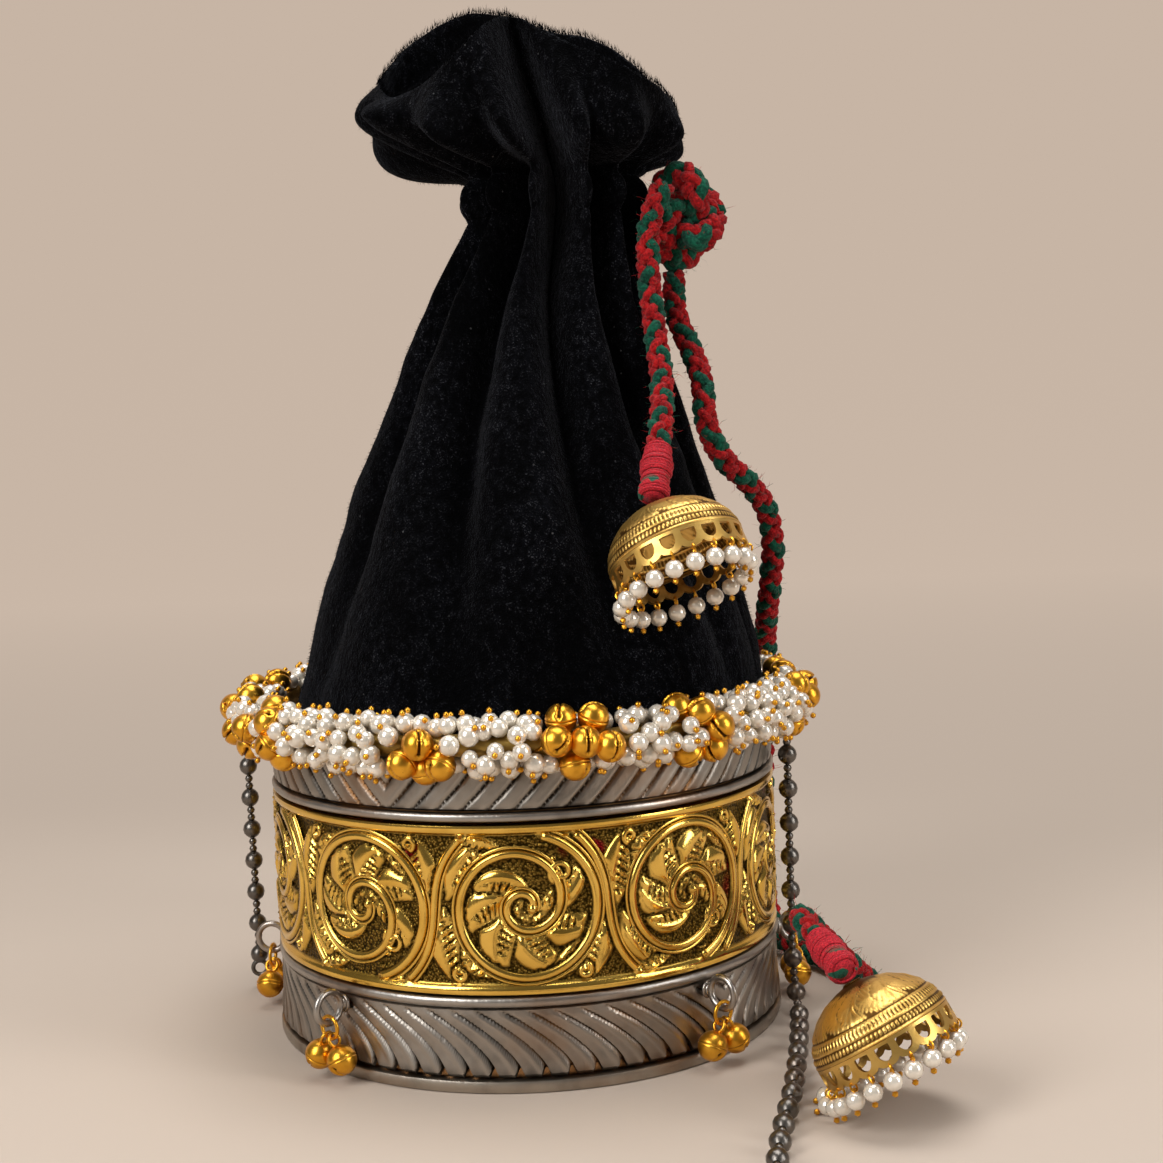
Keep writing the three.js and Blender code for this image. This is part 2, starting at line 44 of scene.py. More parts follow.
# Studio: a pale warm sweep of paper, floor and backdrop in one, under three soft boxes; farther back the
# paper glows with a painted gradient.
# The camera stands about 44 cm in front of the bag, a little above its middle.
class Field:
    """One value, colour or vector in a finish, so that shader maths reads as arithmetic."""

    def __init__(self, tree, socket=None):
        self.tree, self.socket = tree, socket

    def node(self, kind, settings={}, sockets={}, out=0):
        made = self.tree.nodes.new("ShaderNode" + kind)
        for name, value in settings.items():
            setattr(made, name, value)
        for name, value in sockets.items():
            if isinstance(value, Field):
                self.tree.links.new(value.socket, made.inputs[name])
            else:
                made.inputs[name].default_value = value
        return Field(self.tree, made.outputs[out])

    def math(self, operation, a, b=0.0):
        return self.node("Math", {"operation": operation}, {0: a, 1: b})

    def __add__(self, other):
        return self.math("ADD", self, other)

    def __sub__(self, other):
        return self.math("SUBTRACT", self, other)

    def __rsub__(self, other):
        return self.math("SUBTRACT", other, self)

    def __mul__(self, other):
        return self.math("MULTIPLY", self, other)

    __radd__, __rmul__ = __add__, __mul__

    def span(self, low, high):
        settings = {"interpolation_type": "SMOOTHSTEP"}
        return self.node("MapRange", settings, {0: self, 1: low, 2: high})

    def tint(self, colour, other):
        ends = {6: colour if isinstance(colour, Field) else (*colour, 1)}
        ends[7] = other if isinstance(other, Field) else (*other, 1)
        return self.node("Mix", {"data_type": "RGBA"}, {0: self, **ends}, out=2)

    def place(self, part):
        """One coordinate of the piece, in metres."""
        spot = self.node("TexCoord", out=3)
        return self.node("SeparateXYZ", {}, {0: spot}, out=part)

    def grain(self, scale, detail=3.0, stretch=(1, 1, 1)):
        spot = self.node("TexCoord", out=3)
        spread = self.node("Mapping", {}, {"Vector": spot, "Scale": stretch})
        return self.node("TexNoise", {}, {"Vector": spread, "Scale": scale, "Detail": detail})

    def cells(self, scale):
        spot = self.node("TexCoord", out=3)
        return self.node("TexVoronoi", {"feature": "F1"}, {"Vector": spot, "Scale": scale})

    def stored(self, name):
        return self.node("Attribute", {"attribute_name": name}, out=2)

    def bump(self, height, distance):
        return self.node("Bump", {}, {"Height": height, "Distance": distance, "Strength": 1.0})


def finish(name, **fixed):
    """A new finish: a field to start from, and a way to feed its shader that returns the material."""
    made = bpy.data.materials.new(name)
    made.use_nodes = True
    shader = made.node_tree.nodes["Principled BSDF"]
    for socket, value in fixed.items():
        shader.inputs[socket.replace("_", " ")].default_value = value

    def feed(**fields):
        for socket, field in fields.items():
            made.node_tree.links.new(field.socket, shader.inputs[socket.replace("_", " ")])
        return made

    return Field(made.node_tree), feed


sweep = bmesh.new()
PAPER_LEFT, FLOOR_END, PAPER_BEND = -4.0, 1.3, 0.9
edge = [sweep.verts.new((PAPER_LEFT, -2.0, 0)), sweep.verts.new((PAPER_LEFT, FLOOR_END, 0))]
for i in range(1, 13):
    turn = math.pi / 2 * i / 12
    back = FLOOR_END + PAPER_BEND * math.sin(turn)
    edge.append(sweep.verts.new((PAPER_LEFT, back, PAPER_BEND - PAPER_BEND * math.cos(turn))))
edge.append(sweep.verts.new((PAPER_LEFT, FLOOR_END + PAPER_BEND, 4.0)))
spine = [sweep.edges.new(pair) for pair in zip(edge, edge[1:])]
drawn = bmesh.ops.extrude_edge_only(sweep, edges=spine)["geom"]
drawn = [v for v in drawn if isinstance(v, bmesh.types.BMVert)]
bmesh.ops.translate(sweep, vec=(-2 * PAPER_LEFT, 0, 0), verts=drawn)
bmesh.ops.recalc_face_normals(sweep, faces=sweep.faces)
paper_mesh = bpy.data.meshes.new("paper_sweep")
sweep.to_mesh(paper_mesh)
sweep.free()
paper_mesh.shade_smooth()
paper = bpy.data.objects.new("paper_sweep", paper_mesh)
scene.collection.objects.link(paper)
f, feed = finish("paper", Roughness=0.9, Emission_Strength=1.0)
ray = f.node("LightPath")
seen = f.math("MAXIMUM", ray, f.node("LightPath", out=3))
# Painted glow: beyond the bag the paper shines by itself for the camera and in reflections, graded from
# darker nearer to lighter farther back; nearer it stays plain paper that takes the lamps and the bag's
# shadow.
behind = f.place(1).span(0.05, 0.32) * seen
painted_backdrop_glow = f.place(1).span(0.2, 1.6).tint((0.48, 0.39, 0.318), (0.565, 0.455, 0.37))
paper_mesh.materials.append(
    feed(
        Base_Color=behind.tint((0.525, 0.435, 0.36), (0, 0, 0)),
        Emission_Color=behind.tint((0, 0, 0), painted_backdrop_glow),
    )
)

for name, place, target, size, power in (
    ("softbox_left", (-0.75, -0.75, 0.75), (0, 0, 0.1), (0.5, 0.8), 12),
    ("softbox_right", (0.95, -0.5, 0.5), (0, 0, 0.1), (0.35, 0.8), 6),
    ("softbox_top", (0.05, 0.1, 1.25), (0, 0.05, 0.1), (1.0, 0.7), 11.5),
):
    lamp = bpy.data.lights.new(name, "AREA")
    lamp.shape, lamp.energy = "RECTANGLE", power
    lamp.size, lamp.size_y = size
    holder = bpy.data.objects.new(name, lamp)
    holder.location = place
    holder.rotation_euler = (Vector(target) - Vector(place)).to_track_quat("-Z", "Y").to_euler()
    scene.collection.objects.link(holder)

world = bpy.data.worlds.new("studio")
world.use_nodes = True
world.node_tree.nodes["Background"].inputs["Color"].default_value = (1.0, 0.95, 0.9, 1)
world.node_tree.nodes["Background"].inputs["Strength"].default_value = 0.13
scene.world = world

lens = bpy.data.cameras.new("front_view")
lens.sensor_width, lens.lens = 36, 53.19
lens.clip_start = 0.01
camera = bpy.data.objects.new("front_view", lens)
pan, dip, roll = (math.radians(turn) for turn in (-0.426, 4.476, -2.029))
aim = Matrix.Rotation(pan, 4, "Z") @ Matrix.Rotation(math.radians(90) - dip, 4, "X")
tilt = Matrix.Rotation(roll, 4, "Z")
camera.matrix_world = Matrix.Translation((0.01326, -0.43649, 0.14311)) @ aim @ tilt
scene.collection.objects.link(camera)
scene.camera = camera


# Foot plate: a disc of sheet silver with a plain upright rim that the drum stands in.
# Spun, soldered and left with a dull oxide in the corners.
def piece(name, bm, look, slot, nodes=(), body="bag", crease=40):
    """Brings a mesh made in millimetres to metres and puts it on its body."""
    bmesh.ops.scale(bm, vec=(0.001, 0.001, 0.001), verts=bm.verts)
    mesh = bpy.data.meshes.new(name)
    bm.to_mesh(mesh)
    bm.free()
    mesh.shade_smooth()
    if crease:
        mesh.set_sharp_from_angle(angle=math.radians(crease))
    mesh.materials.append(look)
    made = bpy.data.objects.new(name, mesh)
    scene.collection.objects.link(made)
    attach(made, body)
    if nodes:
        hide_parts(*nodes)
    return made


def sealed(bm, gap=1e-3):
    """Joins the points that meet and turns every face outwards."""
    bmesh.ops.remove_doubles(bm, verts=bm.verts, dist=gap)
    bmesh.ops.recalc_face_normals(bm, faces=bm.faces)
    return bm


def spun_round(bm, line, edges, axis, steps):
    """Spins a line of points once round an axis through the origin."""
    whole = {"angle": 2 * math.pi, "steps": steps, "use_merge": True}
    bmesh.ops.spin(bm, geom=line + edges, cent=(0, 0, 0), axis=axis, **whole)


def turned(profile, steps):
    """Spins a line of (radius, height) points round the Z axis."""
    bm = bmesh.new()
    line = [bm.verts.new((r, 0, z)) for r, z in profile]
    edges = [bm.edges.new(pair) for pair in zip(line, line[1:])]
    spun_round(bm, line, edges, (0, 0, 1), steps)
    return sealed(bm, 1e-4)


def silver_finish(name, bright, tarnish_and_shade, copper):
    """Oxidised silver: polished on what stands up, dark and coppery in what lies back; the same darkening
    carries the painted shade on one side of each flute.
    """
    f, feed = finish(name, Metallic=1.0)
    recess_and_shade = f.stored("recess_and_shade")
    cloud = f.grain(70, 4)
    fine = f.grain(900, 3, (1, 1, 0.25))
    smoke = f.grain(190, 5)
    brown = f.grain(38, 4).span(0.47, 0.7) * copper
    dark = (recess_and_shade + (cloud - 0.5) * 1.1 + (smoke - 0.5) * 0.6).span(0.05, 0.95)
    worn_and_shaded = dark.tint(bright, tarnish_and_shade)
    hue = (brown * (0.3 + recess_and_shade)).tint(worn_and_shaded, (0.27, 0.135, 0.055))
    rough = 0.2 + 0.16 * cloud + 0.2 * recess_and_shade + 0.1 * fine
    scratch = f.bump(fine + cloud * 2 + smoke, 0.00008)
    return feed(Base_Color=hue, Roughness=rough, Normal=scratch)


plate_silver = silver_finish("plate_silver", (0.42, 0.37, 0.31), (0.08, 0.06, 0.04), 1.0)
foot = turned(
    [(0, 0), (63.2, 0), (63.9, 0.25), (64.1, 0.8), (64.1, 2.2), (63.9, 2.75), (63.3, 3.0),
     (61.8, 3.0), (61.8, 1.0), (0, 1.0)],
    240,
)
foot_recess = foot.verts.layers.float.new("recess_and_shade")
for v in foot.verts:
    v[foot_recess] = 0.75 if math.hypot(v.co.x, v.co.y) < 63.5 else 0.25
piece("foot_plate", foot, plate_silver, "oxidised_silver", ["base_plate"])


# Drum wall: one strip of sheet bent round and soldered, hidden by the strips outside it.
# It shows only between the leaf tips of the skirt, where copper-brown oxide has gathered.
def as_drawn(name, look):
    """Gives a piece that keeps its drawn shape a finish."""
    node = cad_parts[name]
    node.data.materials.clear()
    node.data.materials.append(look)
    return node


as_drawn("drum_wall", silver_finish("wall_silver", (0.46, 0.25, 0.11), (0.24, 0.12, 0.05), 1.0))


# Leaf skirt: a strip of sheet silver chased with long curling flutes, each ending in a lobe.
# They meet at a spine behind one ring, and the lobes are cut free along the lower edge.
DRUM_R, SKIRT_R, SKIRT_LOW, SKIRT_TOP, FLUTES = 63.5, 63.05, 3.35, 19.35, 34
HALF_ROUND = math.pi * DRUM_R


def flat_grid(columns, rows):
    """A flat grid to bend into shape, and the share of the way across and up of each point."""
    bm = bmesh.new()
    bmesh.ops.create_grid(bm, x_segments=columns, y_segments=rows, size=0.5)
    return bm, np.array([v.co[:2] for v in bm.verts]) + 0.5


def strip(columns, rows, form):
    """A band round the drum: form gives radius, height and the darkness of recesses and painted shade by
    the share round and up.
    """
    bm, flat = flat_grid(columns, rows)
    radius, height, recess_and_shade = form(flat[:, 0], flat[:, 1])
    layer = bm.verts.layers.float.new("recess_and_shade")
    for v, u, r, z, dark in zip(bm.verts, flat[:, 0], radius, height, recess_and_shade):
        v.co = (r * math.sin(2 * math.pi * u), -r * math.cos(2 * math.pi * u), z)
        v[layer] = dark
    bmesh.ops.remove_doubles(bm, verts=bm.verts, dist=1e-3)
    bmesh.ops.bridge_loops(bm, edges=[e for e in bm.edges if e.is_boundary])
    bmesh.ops.recalc_face_normals(bm, faces=bm.faces)
    return bm


def eased(low, high, values):
    t = np.clip((values - low) / (high - low), 0, 1)
    return t * t * (3 - 2 * t)


def skirt_form(share, up):
    down = 1 - up
    from_spine = np.abs((share * 360 - 47 + 180) % 360 - 180) / 180
    curl = 17.0 * (1 - up**1.6)
    across = FLUTES * (from_spine + curl / HALF_ROUND) % 1
    from_groove = np.minimum(across, 1 - across)
    fade = eased(0.02, 0.14, down)
    dome = np.clip(np.sin(np.pi * across), 0, 1) ** 0.6
    groove = np.exp(-((from_groove / 0.08) ** 2))
    ridge = np.exp(-(((across - 0.19) / 0.085) ** 2))
    notch = np.clip(1 - (from_groove / 0.17) ** 2, 0, 1)
    bottom = SKIRT_LOW + 2.0 * notch
    height = bottom + (SKIRT_TOP - bottom) * up
    radius = SKIRT_R + fade * (0.2 * dome + 0.2 * ridge - 0.5 * groove) + 0.6 * eased(0.5, 1, down)
    edge_roll = eased(0.06, 0, up) * 1.2 + eased(0.97, 1, up) * 0.8
    # Painted shade: side makes one side of every flute darker, as if turned away from the light. The lower
    # fifth of the skirt is also made darker and browner.
    side = eased(0.12, 0.5, across) * 0.25
    recess_and_shade = np.clip(1.1 * groove * fade + side + 0.4 * eased(0.8, 1, down) - 0.3 * ridge * fade, 0, 1)
    return radius - edge_roll, height, recess_and_shade


skirt_silver = silver_finish("skirt_silver", (0.35, 0.315, 0.275), (0.028, 0.021, 0.015), 0.9)
skirt = strip(2 * FLUTES * 16, 30, skirt_form)
piece("chased_skirt", skirt, skirt_silver, "oxidised_silver", ["leaf_skirt"])


# Mouldings: two half-round silver wires soldered above the skirt and below the top band.
# They are drawn by hand, so they waver a little, and both have worn bright.
WALL_R = 61.8


def moulding(bottom, top, reach):
    """A half-round wire round the drum wall between two heights, standing out so far."""
    middle, half = (bottom + top) / 2, (top - bottom) / 2
    profile = [(WALL_R, bottom)]
    for i in range(9):
        turn = math.pi * (i / 8 - 0.5)
        profile.append((63.0 + (0.5 + reach) * math.cos(turn), middle + half * math.sin(turn)))
    bm = turned([*profile, (WALL_R, top), (WALL_R, bottom)], 240)
    layer = bm.verts.layers.float.new("recess_and_shade")
    for v in bm.verts:
        out = math.hypot(v.co.x, v.co.y)
        v[layer] = 0.7 - 0.5 * (out - 62.6)
        waver = 0.12 * noise.noise(v.co * 0.16)
        v.co.x *= 1 + waver / out
        v.co.y *= 1 + waver / out
    return bm


wire_silver = silver_finish("wire_silver", (0.40, 0.37, 0.335), (0.05, 0.04, 0.03), 0.9)
piece("lower_wire", moulding(19.45, 21.75, 0.3), wire_silver, "oxidised_silver", ["lower_moulding"])
piece("upper_wire", moulding(61.35, 63.3, 0.2), wire_silver, "oxidised_silver", ["upper_moulding"])


# Scroll band: gilt sheet raised from behind into a running vine and chased from the front.
# Coiled stems end in buds, hatched leaves fill what is left, and the ground is stippled dark.
def scroll_stems(pitch):
    """The stems of one repeat, two scrolls: points on the flat strip and half widths at their ends."""
    stems = []
    t = np.linspace(0, 1, 169)
    coils = 2.25
    coiled = (0, 0.4, 0.7, 0.95, 1.2, 1.45, 1.75, coils)
    away = np.interp(t * coils, coiled, (16.4, 16.2, 15.2, 12.2, 7.4, 5.0, 3.9, 1.5))
    away = np.convolve(np.pad(away, 12, mode="edge"), np.ones(25) / 25, mode="valid")
    turn = math.radians(75) - 2 * math.pi * coils * t
    s = 2 * t[::4] - 1
    for hand, middle in ((1, 0.0), (-1, pitch)):
        lines = [
            (1.0 + away * np.cos(turn), 0.6 + away * np.sin(turn), 1.15, 0.85),
            (19.8 + s * (1.6 + 5.4 * s * s), -16.4 * s, 0.9, 0.9),
        ]
        for px, py, begin, turns, outer in (
            (9.4, 8.0, 230, 1.15, 2.9), (25.6, 14.6, 250, 1.0, 1.7), (14.0, -14.6, 70, 1.0, 1.7),
        ):
            reach = outer + (0.7 - outer) * t[::7] ** 0.85
            curl = math.radians(begin) - 2 * math.pi * turns * t[::7]
            lines.append((px + reach * np.cos(curl), py + reach * np.sin(curl), 0.7, 0.55))
        for px, py, start, end in lines:
            stems.append((np.stack([middle + px, hand * py], 1), start, end, hand))
    return stems


def scroll_field(columns, rows, width, height):
    """Heights 0 to 1 of one repeat between its stems, and how deep each point lies in a crevice."""
    across = np.arange(2 * columns) * width / (2 * columns)
    x, y = np.meshgrid(across, np.linspace(-height / 2, height / 2, 2 * rows - 1))
    relief = np.zeros_like(x)

    def nearest(points):
        """Distance to a line, how far along it, and which side of it, wrapped round the repeat."""
        dx = (x[..., None] - points[:, 0] + width / 2) % width - width / 2
        gap = np.hypot(dx, y[..., None] - points[:, 1])
        best = gap.argmin(-1)
        side = np.take_along_axis(dx, best[..., None], -1)[..., 0]
        ahead = np.gradient(points, axis=0)
        ahead /= np.maximum(np.hypot(*ahead.T), 1e-6)[:, None]
        hand = ahead[best, 0] * (y - points[best, 1]) - ahead[best, 1] * side
        return gap.min(-1), best / (len(points) - 1), hand

    def leaf(start, heading, length, wide, bend, hatched):
        """A curling leaf laid over what is there: a grooved midrib, one half smooth, the other hatched."""
        nonlocal relief
        turn = math.radians(heading) + math.radians(bend) * np.linspace(0, 1, 40)
        points = np.stack([np.cumsum(np.cos(turn)), np.cumsum(np.sin(turn))], 1) * length / 39 + start
        gap, along, hand = nearest(points)
        half = wide * np.sin(math.pi * np.clip(0.12 + 0.88 * along, 0, 1) ** 0.9) ** 0.75 + 0.02
        near = np.clip(1 - (gap / half) ** 2, 0, 1)
        hatch = np.clip(0.35 + np.sin((along * length + 0.5 * gap) * 2 * math.pi / 1.75), 0, 1)
        ends = eased(0.12, 0.2, along) * eased(0.95, 0.85, along)
        inside = eased(0.2, 0.5, hatched * hand) * eased(0.92, 0.74, gap / half) * ends
        rib = np.exp(-((gap / 0.34) ** 2)) * (along < 0.92)
        body = (0.62 + 0.3 * np.sin(math.pi * along)) * near**0.4 * (1 - 0.62 * hatch * inside - 0.35 * rib)
        beside = relief * (1 - 0.6 * eased(1.35, 1.0, gap / half))
        relief = np.where(near > 0.02, np.maximum(body, 0.25 * relief), beside)

    def bud(centre, size, top):
        nonlocal relief
        dx = (x - centre[0] + width / 2) % width - width / 2
        dome = top * np.sqrt(np.clip(1 - (dx**2 + (y - centre[1]) ** 2) / size**2, 0, 1))
        relief = np.maximum(relief, dome)

    pitch = width / 2
    for hand, middle in ((1, 0.0), (-1, pitch)):
        # Leaves round the coil, by distance and bearing from its middle.
        for away, bearing, lean, length, wide, bend, hatched in (
            (15.2, 34, 52, 15.5, 3.1, -64, -1), (15.2, -14, 46, 18, 3.9, -84, -1),
            (15.2, -62, 44, 19, 4.2, -88, -1), (15, -112, 46, 18.5, 4.2, -84, -1),
            (14.2, -160, 44, 17, 3.8, -82, -1), (11.4, -204, 36, 12, 2.7, -70, -1),
            (21.9, -9.5, -35.5, 15, 3, 16, 1),
        ):
            t = math.radians(bearing)
            start = (middle + 1.0 + away * math.cos(t), hand * (0.6 + away * math.sin(t)))
            leaf(start, hand * (bearing - 90 - lean), length, wide, hand * bend, hatched * hand)
        # Leaves in the corners between two scrolls, each with its twin turned about the point between.
        for px, py, heading, length, wide, bend, hatched in (
            (12.8, 15.6, 184, 8.5, 1.4, 10, 1), (25, 7.6, 56, 11.5, 2.8, -34, 1),
            (20.4, -1, 84, 17.5, 3.9, -12, -1),
        ):
            for qx, qy, facing in ((px, py, heading), (39.65 - px, -py, heading + 180)):
                leaf((middle + qx, hand * qy), hand * facing, length, wide, hand * bend, hatched * hand)
        for px, py, size in (
            (17, -1.6, 1), (22.6, 1.6, 1), (12.4, 4.8, 1.1), (4, 12.2, 1.2), (7.6, 11, 0.8),
            (-11.8, 9.2, 1.1), (-8.4, 12.2, 0.9), (27.6, 12.6, 0.9), (12, -12.6, 0.9),
        ):
            bud((middle + px, hand * py), size, 0.8)
    for points, start, end, _ in scroll_stems(pitch):
        gap, along, _ = nearest(points[::2])
        half = 1.3 * (start + (end - start) * along)
        bed = 0.4 * np.sqrt(np.clip(1 - (gap / half) ** 2, 0, 1))
        relief = np.maximum(relief * (1 - 0.7 * eased(1.5, 1.1, gap / half)), bed)
        bud(points[-1], 1.5 * end, 0.95)
    dips = relief.copy()
    for step in (1, 2, 4):
        for axis in (0, 1):
            dips = 0.5 * dips + 0.25 * (np.roll(dips, step, axis) + np.roll(dips, -step, axis))
            if step == 1:
                relief = 0.5 * relief + 0.25 * (np.roll(relief, 1, axis) + np.roll(relief, -1, axis))
    return relief[::2, ::2], np.clip(9.0 * (dips - relief), 0, 1)[::2, ::2]


def carried(line):
    """Two directions across a line at each of its points, which follow it without twisting."""
    ahead = np.gradient(line, axis=0)
    ahead /= np.linalg.norm(ahead, axis=1)[:, None]
    first = np.cross(ahead[0], (0.3, 0.5, 0.8))
    across = [first / np.linalg.norm(first)]
    for way in ahead[1:]:
        held = across[-1] - way * (across[-1] @ way)
        across.append(held / np.linalg.norm(held))
    across = np.array(across)
    return across, np.cross(ahead, across)


def strands(lines, sides, bm=None):
    """Closed round strands along lines of points: each is (points, radius at each, material index)."""
    bm = bm or bmesh.new()
    along = bm.verts.layers.float.get("along") or bm.verts.layers.float.new("along")
    turns = [2 * math.pi * k / sides for k in range(sides)]
    for line, radii, index in lines:
        across, side = carried(line)
        rings = []
        for i, (point, a, b, r) in enumerate(zip(line, across, side, radii)):
            rings.append([bm.verts.new(point + r * (math.cos(t) * a + math.sin(t) * b)) for t in turns])
            for v in rings[-1]:
                v[along] = i / (len(line) - 1)
        for lower, upper in zip(rings, rings[1:]):
            for k in range(sides):
                bm.faces.new((lower[k], lower[k - 1], upper[k - 1], upper[k])).material_index = index
        for ring in (rings[0][::-1], rings[-1]):
            bm.faces.new(ring).material_index = index
    bmesh.ops.recalc_face_normals(bm, faces=bm.faces)
    return bm


SCROLL_LOW, SCROLL_HIGH, SCROLL_R, STEM_R, GROUND_R = 22.0, 61.0, 63.1, 62.9, 62.3
SCROLL_COLUMNS, SCROLL_ROWS, SCROLL_REPEATS = 210, 84, 5
SCROLL_WIDTH = 2 * math.pi * SCROLL_R / SCROLL_REPEATS
vine, crevices = scroll_field(SCROLL_COLUMNS, SCROLL_ROWS + 1, SCROLL_WIDTH, SCROLL_HIGH - SCROLL_LOW)


def scroll_form(share, up):
    height = SCROLL_LOW + (SCROLL_HIGH - SCROLL_LOW) * up
    column = np.rint(share * SCROLL_COLUMNS * SCROLL_REPEATS).astype(int) % SCROLL_COLUMNS
    level = np.rint(up * SCROLL_ROWS).astype(int)
    raised, crevice = vine[level, column], crevices[level, column]
    from_edge = np.minimum(height - SCROLL_LOW, SCROLL_HIGH - height)
    field = eased(2.2, 3.2, from_edge)
    bead = np.sqrt(np.clip(1 - ((from_edge - 1.15) / 1.3) ** 2, 0, 1))
    radius = GROUND_R + 1.85 * raised * field + (1 - field) * (0.45 + 0.85 * bead)
    radius -= eased(0.35, 0, from_edge) * 1.6
    ground = 1 - eased(0.08, 0.72, raised)
    return radius, height, field * np.maximum(ground, crevice)


stems = []
for repeat in range(SCROLL_REPEATS):
    for points, start, end, hand in scroll_stems(SCROLL_WIDTH / 2):
        half = np.linspace(start, end, len(points))
        ahead = np.gradient(points, axis=0)
        aside = np.stack([-ahead[:, 1], ahead[:, 0]], 1) * hand / np.hypot(*ahead.T)[:, None]
        beside = [(half + 0.45, np.full(len(points), 0.36))] if start > 0.8 else []
        for away, thick in [(0, half), *beside]:
            spots = points + aside * np.reshape(away, (-1, 1))
            turn = (spots[:, 0] + repeat * SCROLL_WIDTH) / SCROLL_R
            height = (SCROLL_LOW + SCROLL_HIGH) / 2 + spots[:, 1]
            stems.append((np.stack([STEM_R * np.sin(turn), -STEM_R * np.cos(turn), height], 1), thick, 0))
raised_stems = strands(stems, 6)
layer = raised_stems.verts.layers.float.new("recess_and_shade")
for v in raised_stems.verts:
    out = math.hypot(v.co.x, v.co.y)
    flatter = (STEM_R + 0.72 * (out - STEM_R)) / out
    v.co.x, v.co.y = v.co.x * flatter, v.co.y * flatter
    v[layer] = float(eased(63.35, 62.75, out))

gilt, feed = finish("scroll_gilt", Metallic=1.0)
recess_and_shade = gilt.stored("recess_and_shade")
patch = gilt.grain(120, 4)
stipple = gilt.cells(1700)
polish = gilt.grain(2200, 2, (1, 1, 0.4))
grime_and_shade = (recess_and_shade + (patch - 0.5) * 0.5).span(0.15, 0.85)
yellow = patch.span(0.35, 0.7).tint((0.87, 0.56, 0.12), (0.74, 0.45, 0.08))
olive = stipple.span(0.2, 0.75).tint((0.20, 0.115, 0.021), (0.03, 0.018, 0.003))
lacquer = gilt.grain(60, 2).span(0.66, 0.72) * recess_and_shade.span(0.5, 0.9)
gilt_hue = lacquer.tint(grime_and_shade.tint(yellow, olive), (0.17, 0.006, 0.008))
gilt_rough = 0.1 + 0.09 * patch + 0.28 * recess_and_shade + 0.06 * polish
gilt_normal = gilt.bump(0.45 * polish + 6.0 * recess_and_shade.span(0.4, 0.8) * (1 - stipple), 0.00005)
scroll_gilt = feed(Base_Color=gilt_hue, Roughness=gilt_rough, Normal=gilt_normal)
scrolls = strip(SCROLL_COLUMNS * SCROLL_REPEATS, SCROLL_ROWS, scroll_form)
piece("chased_scrolls", scrolls, scroll_gilt, "gilt_brass", ["scroll_band"])
piece("scroll_stems", raised_stems, scroll_gilt, "gilt_brass", crease=0)


# Fluted band: the drum's top strip, silver sheet pressed into slanting gadroons.
# They fan out both ways from one spine, each with a fine dark groove beside a bright edge.
BAND_R, BAND_LOW, BAND_HIGH = 62.95, 63.6, 13.1


def fluted_form(share, up):
    from_spine = np.abs((share * 360 + 28 + 180) % 360 - 180) / 180
    across = FLUTES * (from_spine - 12.0 * up**0.8 / HALF_ROUND) % 1
    from_groove = np.minimum(across, 1 - across)
    edge = np.minimum(up, 1 - up)
    fade = eased(0, 0.14, edge)
    groove = np.exp(-((from_groove / 0.085) ** 2))
    ridge = np.exp(-(((across - 0.8) / 0.09) ** 2))
    dome = np.clip(np.sin(np.pi * across), 0, 1) ** 0.55
    radius = BAND_R + fade * (0.22 * dome + 0.22 * ridge - 0.5 * groove) - 1.0 * eased(0.05, 0, edge)
    # Painted shade: the second term makes one side of every gadroon darker, as if turned away from the
    # light.
    recess_and_shade = groove * fade + 0.25 * eased(0.9, 0.4, across) + 0.5 * eased(0.12, 0, edge) - 0.3 * ridge
    return radius, BAND_LOW + BAND_HIGH * up, np.clip(recess_and_shade, 0, 1)


band_silver = silver_finish("band_silver", (0.33, 0.30, 0.262), (0.03, 0.023, 0.017), 0.9)
fluted = strip(2 * FLUTES * 15, 20, fluted_form)
piece("gadroon_band", fluted, band_silver, "oxidised_silver", ["fluted_band"])


# Pouch: a tube of black cotton velvet, sewn into the drum's rim and gathered on its drawstring.
# Deep pleats close the throat and fan out down the body, and the mouth opens above as a frill.
def around(azimuth, table):
    """Values of a given list of (azimuth, value, ...) between its entries, all the way round."""
    table = np.array(sorted(table))
    turns = np.concatenate([table[-2:, 0] - 360, table[:, 0], table[:2, 0] + 360])
    spread = np.arange(-8, 8.5, 1.0)
    weight = np.exp(-((spread / 4.5) ** 2))
    turned_by = (azimuth[:, None] + spread + 180) % 360 - 180
    rows = [np.concatenate([table[-2:, k], table[:, k], table[:2, k]]) for k in range(1, table.shape[1])]
    return [(np.interp(turned_by, turns, values) * weight).sum(1) / weight.sum() for values in rows]


# Each pleat's ridge by its azimuth at the neck and at the hem, and the depth of the valley after it.
PLEATS = (
    (-172, -172, 0.9), (-146, -148, 1.1), (-120, -124, 0.8), (-96, -106, 1.0), (-72, -82, 1.0),
    (-43, -44, 1.1), (-12, 6, 1.3), (21, 47, 1.0), (47, 68, 0.9), (73, 88, 1.0), (100, 110, 0.9),
    (128, 132, 1.1), (157, 158, 0.95),
)
